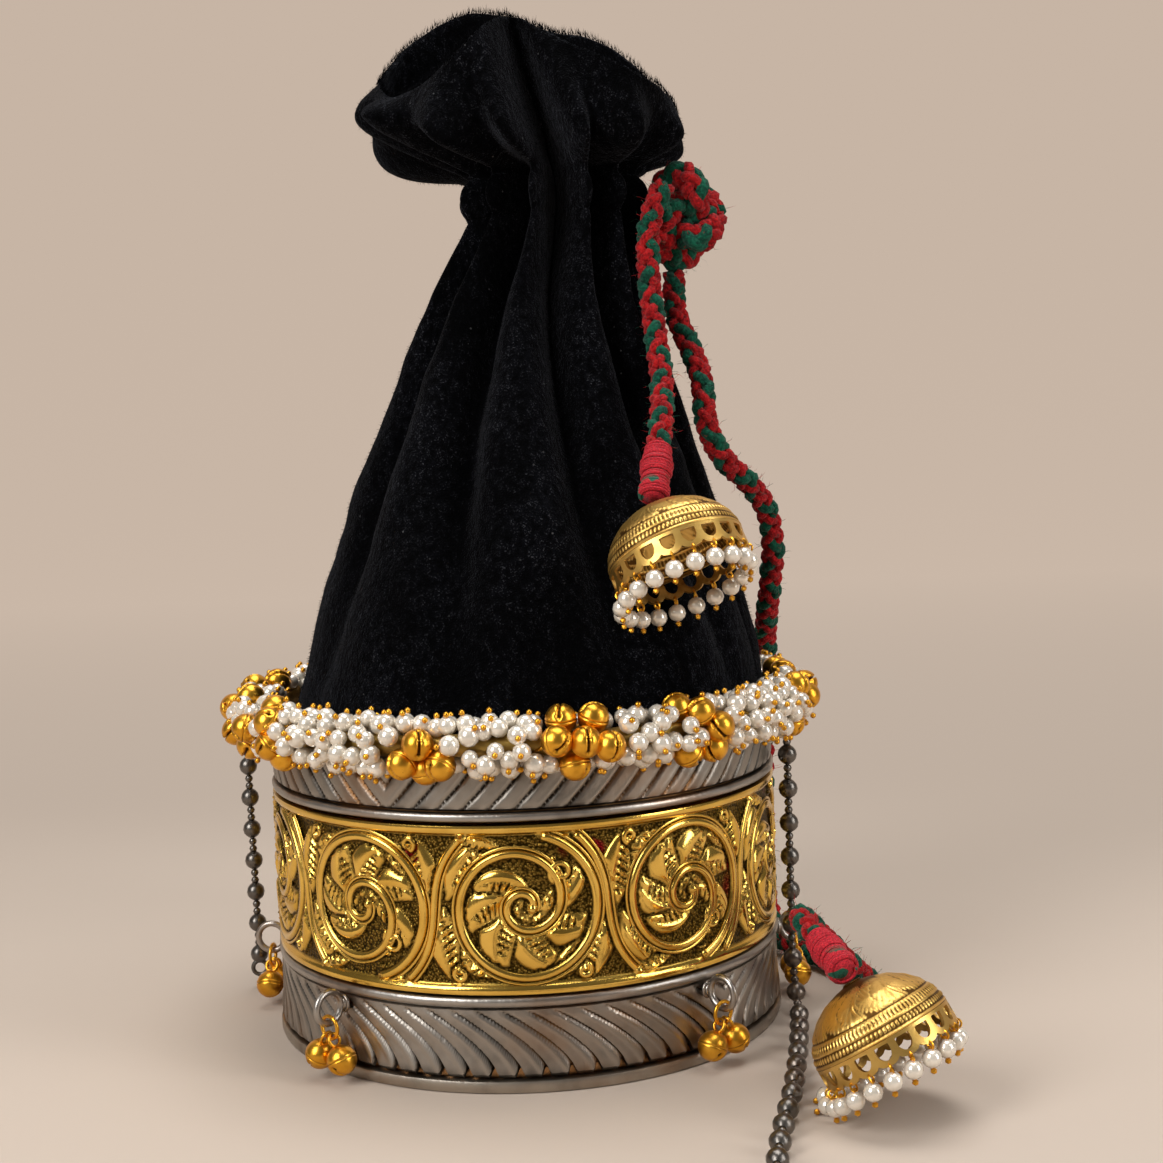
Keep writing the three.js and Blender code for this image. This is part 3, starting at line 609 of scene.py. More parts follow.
# The frill by its azimuth at the neck: where its edge runs, and the belly of the cloth below it.
FRILL = (
    (-93, -29.8, 1.5, 235.5, -31.4, 1.5, 227.5), (-82, -27.5, -6, 231.5, -30.6, -6, 225.5),
    (-70, -25, -11, 229, -28, -14.5, 223.5), (-57, -20.5, -17, 229.6, -21.5, -21.5, 220),
    (-44, -15.5, -22, 231.4, -14, -26, 217.5), (-31, -10.1, -25, 235.5, -6, -27, 216.5),
    (-18, -5.5, -26, 239.5, 1, -26.5, 217.5), (-8, -2.5, -24.5, 242.5, 5.5, -24, 219),
    (-2, -0.3, -20, 245.5, 8, -19, 221), (3, 2.2, -13, 248, 10, -12, 223),
    (8, 4.6, -11.5, 247.2, 12.5, -12, 223), (13, 6.8, -17, 245.2, 14.5, -20, 221),
    (20, 11, -18, 243.2, 18, -23.5, 219.5), (29, 18, -19.5, 239, 22.5, -25.5, 218.5),
    (38, 25, -23, 235.3, 27.5, -26, 217.5), (48, 31.5, -25.5, 231.6, 32.5, -24, 216.5),
    (59, 37.5, -21.5, 228.9, 36.8, -19, 216), (70, 41.7, -14, 227.2, 40.5, -12.5, 217),
    (82, 44, -4, 226, 43, -4.5, 218.5), (95, 44.8, 5.5, 225, 43.6, 5, 217.5),
    (110, 43.6, 14, 229.5, 41, 14, 215.5), (125, 36.7, 21, 240.5, 36, 24, 217),
    (138, 29.4, 23.5, 247.4, 30, 29, 219), (152, 22.1, 21.5, 250.3, 23, 32, 221),
    (166, 15.5, 19.5, 250.5, 15, 32.5, 222), (180, 8.4, 20, 253.1, 8, 32, 222.5),
    (-165, 0.7, 22, 256.5, 0, 32.5, 222.5), (-151, -7, 24.5, 258, -9, 31.5, 220.5),
    (-138, -15.5, 25.5, 255.5, -18, 27.5, 217.5), (-125, -24.5, 21.5, 248.6, -26, 20.5, 217),
    (-112, -29.5, 14.5, 241.5, -31.5, 13.5, 219.5), (-101, -30.6, 7.5, 236.5, -31.6, 7.5, 224.5),
)
# Half widths and middles of the body from hem to neck, by height.
GIRTH = (
    (66, 58.6, 0), (74, 59, 0.2), (77, 58.9, 0.8), (84, 58.6, 3), (92, 57, 3.9), (105, 54, 4),
    (117, 50.2, 4.3), (130, 45.8, 4.4), (143, 41.6, 5.1), (155, 37.3, 6), (168, 33, 7), (180, 28.4, 8.6),
    (190, 24.8, 11), (198, 22.2, 12.8), (202, 20.9, 13), (206, 20.6, 13), (211, 20.9, 12.8),
)
# How deep the pleats lie, by height.
PLEAT_DEPTH = (
    (66, 0), (80, 0.2), (92, 0.9), (105, 1.6), (117, 2.2), (143, 3.1), (168, 3.9), (186, 4.9),
    (198, 5.7), (205, 6.2), (211, 5.8),
)
# Heights of the hem inside the drum, where the pleats fan out, where they close, and of neck and frill.
HEM_Z, FANNED_Z, THROAT_Z, NECK_Z, FRILL_Z = 67.5, 84, 200, 205, 211


def gathered(azimuth, z, puffed):
    """Points of the pleated tube at azimuths and heights, swollen outwards by so many millimetres."""
    heights, widths, middles = np.array(GIRTH).T
    neck_turns, hem_turns, shares = np.array(PLEATS).T
    climb = np.clip((z - FANNED_Z) / (THROAT_Z - FANNED_Z), 0, 1)
    pleat, strength = np.zeros(len(z)), np.zeros(len(z))
    for level in np.unique(climb):
        here = climb == level
        ridges = hem_turns + (neck_turns - hem_turns) * level
        turns = np.concatenate([ridges[-1:] - 360, ridges, ridges[:1] + 360])
        pleat[here] = np.interp(azimuth[here], turns, np.arange(-1, len(ridges) + 1))
        strength[here] = np.interp(azimuth[here], turns, np.concatenate([shares[-1:], shares, shares[:1]]))
    wide = 0.5 - 0.5 * np.cos(2 * math.pi * pleat)
    narrow = np.exp(-((((pleat % 1) - 0.5) / 0.15) ** 2))
    tight = eased(160, THROAT_Z, z)
    valley = wide * (0.45 + 0.55 * tight) + narrow * 0.8 * (1 - 0.75 * tight)
    gathers = pleat * 2 + 0.2 * np.sin(2 * math.pi * pleat * 5 / len(PLEATS))
    fine = np.cos(2 * math.pi * gathers) * np.exp(-(((z - NECK_Z) / np.where(z > NECK_Z, 8.0, 24.0)) ** 2))
    depth = np.interp(z, *np.array(PLEAT_DEPTH).T) * strength
    reach = np.interp(z, heights, widths) - 2 * depth * valley + 1.35 * fine + puffed * (1 + 0.6 * fine)
    for stitches in (NECK_Z - 4.5, NECK_Z + 4.5):
        reach -= 0.7 * np.exp(-(((z - stitches) / 1.2) ** 2))
    turn = np.radians(azimuth)
    return np.stack([np.interp(z, heights, middles) + reach * np.sin(turn), -reach * np.cos(turn), z], 1)


body_rows, frill_rows, cloth_columns = 68, 38, 330
pouch, flat = flat_grid(cloth_columns, body_rows + frill_rows)
azimuth = flat[:, 0] * 360 - 180
row = np.rint(flat[:, 1] * (body_rows + frill_rows)).astype(int)
co = gathered(azimuth, np.interp(row, (0, 6, body_rows), (HEM_Z, 80, FRILL_Z)), 0)
around_neck = co[row == body_rows]
rim_at = np.stack(around(azimuth[row == body_rows], FRILL), 1)
rim, belly = rim_at[:, :3], rim_at[:, 3:]
knuckle = (8 * belly - around_neck - rim) / 6
from_middle = around_neck - around_neck.mean(0)
pleat_out = np.linalg.norm(from_middle, axis=1)[:, None]
fold = from_middle * (1 - pleat_out.mean() / pleat_out)
for step in range(1, frill_rows + 1):
    t = step / frill_rows
    swept = (1 - t) ** 3 * around_neck + 3 * t * (1 - t) * knuckle + t**3 * rim
    co[row == body_rows + step] = swept + 1.5 * ((1 - t) - (1 - t) ** 3) * fold
for v, spot in zip(pouch.verts, co):
    spot = Vector(spot)
    slack = min(1, max(0, (spot.z - 82) / 30))
    sag = noise.noise(spot * 0.055) * 1.1 + noise.noise(spot * 0.16 + Vector((7, 3, 1))) * 0.45
    outward = Vector((spot.x - 8, spot.y, 0)).normalized()
    v.co = spot + outward * sag * slack
sealed(pouch)
every_way = {"use_axis_x": True, "use_axis_y": True, "use_axis_z": True}
bmesh.ops.smooth_vert(pouch, verts=[v for v in pouch.verts if v.co.z > 80], factor=0.35, **every_way)
raw_edge = []
for v in pouch.verts:
    if v.is_boundary and v.co.z > THROAT_Z:
        inner = next(e.other_vert(v) for e in v.link_edges if not e.is_boundary)
        raw_edge.append((np.array(v.co), np.array((v.co - inner.co).normalized())))

velvet, feed = finish(
    "black_velvet",
    Sheen_Weight=0.1,
    Sheen_Roughness=0.3,
    Sheen_Tint=(0.5, 0.53, 0.62, 1),
    Specular_IOR_Level=0.03,
)
nap = velvet.grain(620, 4, (1, 1, 0.7))
tuft = velvet.grain(2600, 2)
brushed = velvet.grain(70, 3, (1, 1, 0.35))
lint = velvet.cells(240).span(0.075, 0.045) * velvet.grain(60, 1).span(0.5, 0.62)
pile_hue = (nap * brushed).span(0.15, 0.5).tint((0.0003, 0.0003, 0.0005), (0.0028, 0.003, 0.0042))
glint = tuft.span(0.54, 0.74) * brushed.span(0.22, 0.8) * nap.span(0.4, 0.66)
black_velvet = feed(
    Base_Color=(lint * 0.5).tint(glint.tint(pile_hue, (0.06, 0.061, 0.07)), (0.12, 0.12, 0.125)),
    Roughness=0.86 + 0.12 * nap,
    Normal=velvet.bump(nap * 1.2 + tuft * 0.7, 0.0006),
)


def velvet_piece(name, bm, nodes, thick):
    """A piece of velvet given its thickness on the inside."""
    made = piece(name, bm, black_velvet, "velvet", nodes, crease=0)
    backing = made.modifiers.new("cloth", "SOLIDIFY")
    backing.thickness, backing.offset = thick, -1
    return made


cloth = velvet_piece("gathered_velvet", pouch, ["velvet_pouch", "velvet_frill"], 0.0014)


# Casing: the channel that carries the drawstring, sewn across the throat in the same velvet.
# Drawn tight it puckers between its two rows of stitches and follows the pleats in and out.
tunnel, flat = flat_grid(cloth_columns, 10)
puffed = 0.2 + 1.3 * np.sin(math.pi * flat[:, 1])
for v, spot in zip(tunnel.verts, gathered(flat[:, 0] * 360 - 180, 200.2 + 9.6 * flat[:, 1], puffed)):
    v.co = spot
casing = velvet_piece("casing_channel", sealed(tunnel), ["drawstring_casing"], 0.0012)


# Pile: short cut fibres that stand out of the velvet and blur its outline.
# They lean down the bag, as the nap was brushed, and the raw edge of the mouth frays.
def fibres(count, seed, long, wide, lean):
    """Single tapering fibres scattered over the velvet and along its raw edge, in millimetres."""
    chance = np.random.default_rng(seed)
    points = np.array([v.co for v in cloth.data.vertices]) * 1000
    cloth.data.calc_loop_triangles()
    corners = np.array([t.vertices for t in cloth.data.loop_triangles])
    a, b, c = (points[corners[:, k]] for k in range(3))
    normal = np.cross(b - a, c - a)
    area = np.linalg.norm(normal, axis=1)
    seen = np.where(a[:, 2] > 79, area, 0)
    pick = chance.choice(len(corners), count, p=seen / seen.sum())
    u, w = chance.random((2, count, 1))
    u, w = np.where(u + w > 1, 1 - u, u), np.where(u + w > 1, 1 - w, w)
    root = a[pick] + u * (b[pick] - a[pick]) + w * (c[pick] - a[pick])
    out = normal[pick] / area[pick][:, None] + np.array((0, 0, -lean))
    frayed = np.repeat(np.arange(len(raw_edge)), 8)
    root = np.vstack([root, np.array([raw_edge[i][0] for i in frayed])])
    out = np.vstack([out, np.array([raw_edge[i][1] for i in frayed])])
    total = len(root)
    long = np.where(np.arange(total) < count, long, 2 * long)[:, None]
    root[count:] += chance.normal(0, 0.3, (total - count, 3))
    out += chance.normal(0, 0.3, (total, 3))
    out /= np.linalg.norm(out, axis=1)[:, None]
    side = np.cross(out, chance.normal(0, 1, (total, 3)))
    side /= np.linalg.norm(side, axis=1)[:, None]
    side *= np.where(np.arange(total) < count, wide, 2.2 * wide)[:, None]
    tip = root + out * (long * (0.6 + 0.8 * chance.random((total, 1))))
    mesh = bpy.data.meshes.new("fibres")
    spots = np.stack([root - side, root + side, tip], 1).reshape(-1, 3)
    mesh.from_pydata(spots, [], np.arange(3 * total).reshape(-1, 3))
    made = bmesh.new()
    made.from_mesh(mesh)
    bpy.data.meshes.remove(mesh)
    return made


def plain_finish(name, colour, **fixed):
    """One even colour without texture, for what is too fine to show any."""
    return finish(name, Base_Color=(*colour, 1), **fixed)[1]()


pile_black = plain_finish("pile_black", (0.0014, 0.0014, 0.0019), Roughness=0.95, Specular_IOR_Level=0.03)
piece("velvet_pile", fibres(52000, 4, 0.75, 0.05, 0.35), pile_black, "velvet", crease=0)


# Drawstring: a round braid of red and green wool, six yarns worked over and under each other.
# It runs round the neck inside a sewn channel, is knotted outside it, and its tails end in jhumkas.
def gone_along(line):
    """How far along a line each of its points lies."""
    return np.concatenate([[0], np.cumsum(np.linalg.norm(np.diff(line, axis=0), axis=1))])


def smooth_line(points, step, closed=False):
    """Evenly spaced points on the smooth line through a few chosen ones."""
    p = np.array(points, float)
    ends = (p[-1:], p[:2]) if closed else ((2 * p[0] - p[1])[None], (2 * p[-1] - p[-2])[None])
    p = np.vstack([ends[0], p, ends[1]])
    bits = []
    for a, b, c, d in zip(p, p[1:], p[2:], p[3:]):
        s0, s1, s2 = (np.linalg.norm(y - x) ** 0.5 for x, y in ((a, b), (b, c), (c, d)))
        m1 = ((b - a) / s0 - (c - a) / (s0 + s1) + (c - b) / s1) * s1
        m2 = ((c - b) / s1 - (d - b) / (s1 + s2) + (d - c) / s2) * s1
        t = np.linspace(0, 1, 24, endpoint=False)[:, None]
        bits.append(b + m1 * t + (3 * (c - b) - 2 * m1 - m2) * t**2 + (2 * (b - c) + m1 + m2) * t**3)
    line = np.vstack([*bits, p[-2][None]])
    along = gone_along(line)
    at = np.linspace(0, along[-1], max(4, int(along[-1] / step) + 1))
    return np.stack([np.interp(at, along, line[:, k]) for k in range(3)], 1)


def braid(line, radius, pitch=4.6):
    """Six yarns round a line, three each way, passing over and under each other."""
    across, side = carried(line)
    advance = gone_along(line) * 2 * math.pi / (3 * pitch)
    yarns = []
    for hand, colours in ((1, (0, 0, 1)), (-1, (0, 1, 0))):
        for k, colour in enumerate(colours):
            turn = 2 * math.pi * k / 3 + hand * advance
            over = hand * np.cos(3 * advance)
            out = (0.49 + 0.13 * over) * radius
            path = line + (np.cos(turn) * out)[:, None] * across + (np.sin(turn) * out)[:, None] * side
            yarns.append((path, radius * (0.37 + 0.06 * colour + 0.04 * over), colour))
    return strands(yarns, 6)


def yarn(name, colour, light, deep):
    f, feed = finish(name, Sheen_Weight=0.1, Sheen_Roughness=0.4, Specular_IOR_Level=0.15)
    hair = f.grain(1500, 4)
    lump = f.grain(260, 2)
    wisp = f.grain(5200, 2)
    shade = (hair * 0.7 + lump * 0.3).span(0.35, 0.68)
    return feed(
        Base_Color=(wisp.span(0.62, 0.75) * 0.35).tint(shade.tint(deep, colour), light),
        Roughness=0.78 + 0.2 * hair,
        Normal=f.bump(hair * 1.2 + wisp * 0.5, 0.0005),
    )


wool = [
    yarn("red_wool", (0.56, 0.012, 0.014), (0.70, 0.07, 0.05), (0.17, 0.002, 0.004)),
    yarn("green_wool", (0.006, 0.12, 0.065), (0.04, 0.24, 0.16), (0.001, 0.03, 0.018)),
]


def cord_piece(name, line, nodes, radius=3.1):
    made = piece(name, braid(line, radius), wool[0], "braided_cord", nodes, crease=0)
    made.data.materials.append(wool[1])
    return made


def wool_fuzz(name, line, count, seed):
    """Stray wool hairs that stand off the braid."""
    chance = np.random.default_rng(seed)
    across, side = carried(line)
    bm = bmesh.new()
    for i in chance.integers(0, len(line), count):
        turn, long = chance.uniform(0, 2 * math.pi), chance.uniform(1.0, 3.2)
        out = math.cos(turn) * across[i] + math.sin(turn) * side[i]
        root = line[i] + out * 2.7
        bend = root + out * 0.55 * long + chance.normal(0, 0.35, 3)
        tip = bend + out * 0.3 * long + chance.normal(0, 0.6, 3)
        bend[2], tip[2] = max(bend[2], 0.1), max(tip[2], 0.1)
        wide = np.cross(out, chance.normal(0, 1, 3))
        wide *= 0.05 / np.linalg.norm(wide)
        a, b, c, d = (bm.verts.new(p) for p in (root - wide, root + wide, bend + wide, bend - wide))
        bm.faces.new((a, b, c, d)).material_index = int(chance.integers(0, 2))
        bm.faces.new((d, c, bm.verts.new(tip))).material_index = int(chance.integers(0, 2))
    made = piece(name, bm, hair_red, "braided_cord", crease=0)
    made.data.materials.append(hair_green)
    return made


hair_red = plain_finish("red_hair", (0.40, 0.012, 0.014), Roughness=0.9)
hair_green = plain_finish("green_hair", (0.006, 0.08, 0.045), Roughness=0.9)

knot_at = np.array((45.1, -5.0, 199.0))
loop = np.linspace(0, 2 * math.pi, 60, endpoint=False)
wide = 2 + np.cos(3 * loop)
trefoil = np.stack([wide * np.cos(2 * loop), np.sin(3 * loop) * 1.5, wide * np.sin(2 * loop)], 1)
knot_line = smooth_line(trefoil * (2.35, 3.6, 3.5) + knot_at, 0.6, closed=True)
cord_piece("cord_knot", knot_line, ["drawstring_knot"], 3.7)
wool_fuzz("knot_fuzz", knot_line, 260, 8)


# Thread wraps: dark red thread wound close round the cord's end above each jhumka.
# The green of the cord shows through where the winding is thin.
def stood(place, axis):
    """The move that stands a thing made at the origin on a place, with its Z along an axis."""
    turn = Vector((0, 0, 1)).rotation_difference(Vector(axis))
    return Matrix.Translation(place) @ turn.to_matrix().to_4x4()


WRAP_LONG = 14.0


def wrapped(start, axis, nodes, name):
    """A winding 14 mm long and about 7.5 mm thick along an axis, with a plain core inside it."""
    height = np.linspace(0, WRAP_LONG, 620)
    turn = height / 0.56 * 2 * math.pi
    swell = 3.15 + 0.28 * np.sin(height * 0.8 + 1) + 0.12 * np.sin(height * 2.9)
    swell -= 0.7 * eased(1.5, 0, height) + 0.35 * eased(WRAP_LONG - 1.2, WRAP_LONG, height)
    slip = 0.16 * np.sin(turn * 0.37) + 0.1 * np.sin(turn * 0.23 + 2)
    coil = np.stack([swell * np.cos(turn), swell * np.sin(turn), height + slip], 1)
    coil[:, 2] = np.clip(coil[:, 2], 0.05, WRAP_LONG - 0.05)
    bm = strands([(coil, np.full(len(coil), 0.4), 0)], 5)
    core = np.stack([np.zeros(8), np.zeros(8), np.linspace(0.2, WRAP_LONG - 0.2, 8)], 1)
    strands([(core, np.full(8, 2.7), 0)], 10, bm)
    bmesh.ops.transform(bm, matrix=stood(start, axis), verts=bm.verts)
    return piece(name, bm, wrap_thread, "thread", nodes, crease=0)


f, feed = finish("wrap_thread", Sheen_Weight=0.08, Specular_IOR_Level=0.25)
spun = f.grain(2400, 3)
show = f.grain(210, 1).span(0.60, 0.63) * f.stored("along").span(0.42, 0.22)
crimson = spun.span(0.3, 0.7).tint((0.27, 0.005, 0.014), (0.62, 0.018, 0.032))
wrap_thread = feed(
    Base_Color=show.tint(crimson, (0.01, 0.10, 0.06)),
    Roughness=0.62 + 0.25 * spun,
    Normal=f.bump(spun, 0.0003),
)


def unit(*way):
    return np.array(way) / np.linalg.norm(way)


def ending(apex, axis, wrap_axis):
    """Where a winding starts on a jhumka's crown, and the points where the cord enters it."""
    bend = math.acos(float(axis @ wrap_axis))
    start = apex + axis * (0.3 + 2.8 * math.sin(bend))
    return start, [start + wrap_axis * (WRAP_LONG + past) for past in (6.3, 0.3)]


axis_a, wrap_a = unit(-0.31, 0.4, 0.86), unit(0.14, 0.6, 0.79)
apex_a = np.array((33.391, -51.979, 129.6))
start_a, entry_a = ending(apex_a, axis_a, wrap_a)
axis_b, wrap_b = unit(-0.45, 0.3, 0.84), unit(-0.25, 0.93, 0.22)
apex_b = np.array((70.3, -78.6, 27.49))
start_b, entry_b = ending(apex_b, axis_b, wrap_b)
winding_a = wrapped(start_a, wrap_a, ["thread_wrap_a"], "winding_a")
winding_b = wrapped(start_b, wrap_b, ["thread_wrap_b"], "winding_b")

TAIL_A = (
    (39.6, -14.9, 205.6), (37.3, -15.5, 200.8), (35.7, -16.2, 194.6), (35.2, -16.9, 186.5),
    (35.7, -18.6, 176.5), (36.5, -22.2, 166), (37, -27.4, 157.6),
)
TAIL_B = (
    (42.4, -3.6, 185.1), (41.9, -5.2, 179.6), (42.7, -7.7, 173.2), (45, -10.5, 166.8),
    (47.2, -13.3, 160.3), (47.7, -15.8, 153.8), (48.2, -17, 147.8), (50, -16.8, 142.4),
    (53.2, -14.9, 137.8), (57.6, -10.8, 133.8),
    (62, -4.8, 129), (65, 1.2, 122.8), (66.3, 6.6, 115.4), (66.3, 12.2, 107.4), (66.1, 19.2, 99.8),
    (66.4, 27.4, 93.6), (67.1, 35, 87.4), (67.6, 40.6, 79.6), (67.4, 43.2, 70), (66.8, 44, 58),
    (66.2, 44, 38), (66.2, 43.8, 18.7), (66.6, 42.2, 12.3), (67.7, 38.7, 7.4), (69.6, 33.6, 4.4),
    (72.5, 27.5, 3.4), (77.6, 18.6, 3.4), (82.6, 9.6, 3.4), (85.5, 1.4, 3.4), (86.3, -5.9, 4.3),
    (84.7, -12.2, 6.7), (81.3, -18, 10.8), (77.4, -24.4, 15.7), (73.5, -31.1, 20.8), (69.3, -38.2, 26.4),
    (65.6, -44.8, 31.3), (64, -49.3, 33.5), (63.5, -53.9, 34.4),
)
line_a = smooth_line([*TAIL_A, *entry_a], 0.6)
line_b = smooth_line([*TAIL_B, *entry_b], 0.6)
tail_a = cord_piece("cord_tail_a", line_a, ["drawstring_tail_a"])
tail_b = cord_piece("cord_tail_b", line_b, ["drawstring_tail_b"])
fuzz_a = wool_fuzz("tail_a_fuzz", line_a, 170, 11)
fuzz_b = wool_fuzz("tail_b_fuzz", line_b, 560, 12)


# Jhumkas: bell-shaped ear-drop caps of antique gilt brass, stamped with leaves and rope bands.
# A pierced gallery runs round the mouth, and pearls on headpins hang from its scallops.
JHUMKA_R, JHUMKA_HIGH, GALLERY, ARCHES, PEARL_R = 15.6, 17.5, 5.0, 20, 2.1


def leafy_dome():
    """The cap above the gallery, mouth down at height 0: stamped outside, plain inside."""
    bm, flat = flat_grid(380, 42)
    layer = bm.verts.layers.float.new("recess_and_shade")
    profile = np.array(
        [(JHUMKA_R, 4.9), (15.62, 5.6), (15.35, 7), (14.6, 9), (13.2, 11.2), (10.8, 13.6), (7.6, 15.5),
         (4.2, 16.7), (2.3, 17.1), (2.2, JHUMKA_HIGH), (1, JHUMKA_HIGH)]
    )
    length = gone_along(profile)
    turn, gone = 2 * math.pi * flat[:, 0], flat[:, 1] * length[-1]
    radius, height = (np.interp(gone, length, profile[:, k]) for k in (0, 1))
    raised = np.zeros(len(flat))
    for low, high, teeth in ((0.2, 1.0, 0), (1.1, 2.5, 96), (2.6, 3.2, 0), (3.3, 4.7, 96), (4.8, 5.4, 0)):
        inside = np.clip(1 - ((gone - (low + high) / 2) / ((high - low) / 2)) ** 2, 0, 1) ** 0.4
        raised = np.maximum(raised, inside * (0.5 + 0.5 * np.cos(turn * teeth) if teeth else 0.85))
    share = np.clip((gone - 5.6) / 11.6, 0, 1)
    off = np.abs((flat[:, 0] * 8 + 0.34 * np.sin(share * 4.2)) % 1 - 0.5)
    half = 0.45 * np.sin(math.pi * np.clip(0.1 + 0.86 * share, 0, 1)) ** 0.6 + 0.02
    vein = 0.5 + 0.5 * np.cos((share * 9 - off * 7) * 2 * math.pi)
    blade = np.clip(1 - (off / half) ** 2, 0, 1) ** 0.35 * (0.5 + 0.3 * vein)
    blade -= 0.4 * np.exp(-((off / 0.03) ** 2))
    outline = 0.95 * np.exp(-(((off - half) / 0.035) ** 2))
    outline += 0.6 * np.exp(-(((off - half - 0.09) / 0.03) ** 2))
    raised = np.where(gone > 5.6, np.maximum(blade, outline) * np.clip((1 - share) * 5, 0, 1), raised)
    radius = radius + 0.32 * (raised - 0.5)
    for v, t, r, z, up in zip(bm.verts, turn, radius, height, raised):
        v.co = (r * math.cos(t), r * math.sin(t), z)
        v[layer] = 1 - up
    sealed(bm)
    bmesh.ops.solidify(bm, geom=bm.faces[:], thickness=0.7)
    lid_at = Matrix.Translation((0, 0, 17.45))
    bmesh.ops.create_circle(bm, cap_ends=True, radius=2.2, segments=20, matrix=lid_at)
    return bm


def gallery():
    """Openings flat above and round below, in a strip whose lower edge is scalloped."""
    bm = bmesh.new()
    cell = 2 * math.pi / ARCHES
    # The right half of one scallop and of its opening, from the middle of the top to the bottom.
    scallop = (
        (0, GALLERY), (0.25, GALLERY), (0.5, GALLERY), (0.5, 3.4), (0.5, 1.9), (0.5, 0.9), (0.36, 0.35),
        (0.2, 0.08), (0, 0),
    )
    opening = (
        (0, 4.3), (0.18, 4.3), (0.33, 4.25), (0.34, 3.5), (0.33, 2.7), (0.27, 2), (0.18, 1.5), (0.09, 1.25),
        (0, 1.18),
    )
    for i in range(ARCHES):
        loops = []
        for right in (scallop, opening):
            ring = []
            for u, h in [*right, *[(-u, h) for u, h in right[-2:0:-1]]]:
                turn = (i + 0.5 + u) * cell
                ring.append(bm.verts.new((JHUMKA_R * math.cos(turn), JHUMKA_R * math.sin(turn), h)))
            loops.append([bm.edges.new((ring[k - 1], ring[k])) for k in range(len(ring))])
        bmesh.ops.bridge_loops(bm, edges=loops[0] + loops[1])
    sealed(bm)
    bmesh.ops.solidify(bm, geom=bm.faces[:], thickness=0.8)
    layer = bm.verts.layers.float.new("recess_and_shade")
    for v in bm.verts:
        v[layer] = 0.75 if math.hypot(v.co.x, v.co.y) < JHUMKA_R - 0.3 else 0.25
    return bm


def ball(bm, centre, radius, rings=2):
    """A small round bead."""
    bmesh.ops.create_icosphere(bm, subdivisions=rings, radius=radius, matrix=Matrix.Translation(centre))


def ring_wire(bm, centre, radius, wire, turn=Matrix(), steps=14, sides=6):
    """A closed ring of round wire in its own XZ plane, turned and moved into place."""
    before = set(bm.verts)
    aside = Matrix.Translation((radius, 0, 0))
    section = bmesh.ops.create_circle(bm, segments=sides, radius=wire, matrix=aside)["verts"]
    edges = list(dict.fromkeys(e for v in section for e in v.link_edges))
    spun_round(bm, section, edges, (0, 1, 0), steps)
    made = [v for v in bm.verts if v not in before]
    bmesh.ops.remove_doubles(bm, verts=made, dist=1e-4)
    made = [v for v in bm.verts if v not in before]
    bmesh.ops.transform(bm, matrix=Matrix.Translation(centre) @ turn.to_4x4(), verts=made)
    bmesh.ops.recalc_face_normals(bm, faces=list(dict.fromkeys(f for v in made for f in v.link_faces)))


def gilt_finish(name, bright, warm, dark, rough):
    """Gilt brass: bright where it is rubbed, brown in the recesses, with fine wear; the same darkening
    carries the painted shade of the bells' slots.
    """
    f, feed = finish(name, Metallic=1.0)
    recess_and_shade = f.stored("recess_and_shade")
    cloud = f.grain(260, 3)
    fine = f.grain(2600, 2)
    grime_and_shade = (recess_and_shade + (cloud - 0.5) * 0.6).span(0.45, 0.95)
    return feed(
        Base_Color=grime_and_shade.tint(cloud.span(0.3, 0.7).tint(bright, warm), dark),
        Roughness=rough + 0.12 * cloud + 0.2 * recess_and_shade + 0.06 * fine,
        Normal=f.bump(fine, 0.00003),
    )


antique_gilt = gilt_finish(
    "antique_gilt", (0.8, 0.515, 0.15), (0.68, 0.405, 0.1), (0.11, 0.052, 0.012), 0.23
)
bright_gilt = gilt_finish(
    "bright_gilt", (0.85, 0.435, 0.046), (0.7, 0.325, 0.027), (0.05, 0.022, 0.004), 0.22
)

f, feed = finish("pearl_lustre", Metallic=0.35, Coat_Weight=1.0, Coat_Roughness=0.08, Coat_IOR=1.8)
lustre = f.grain(420, 2)
pearl_lustre = feed(
    Base_Color=lustre.span(0.35, 0.65).tint((0.87, 0.80, 0.69), (0.76, 0.69, 0.58)),
    Roughness=0.16 + 0.16 * lustre,
)


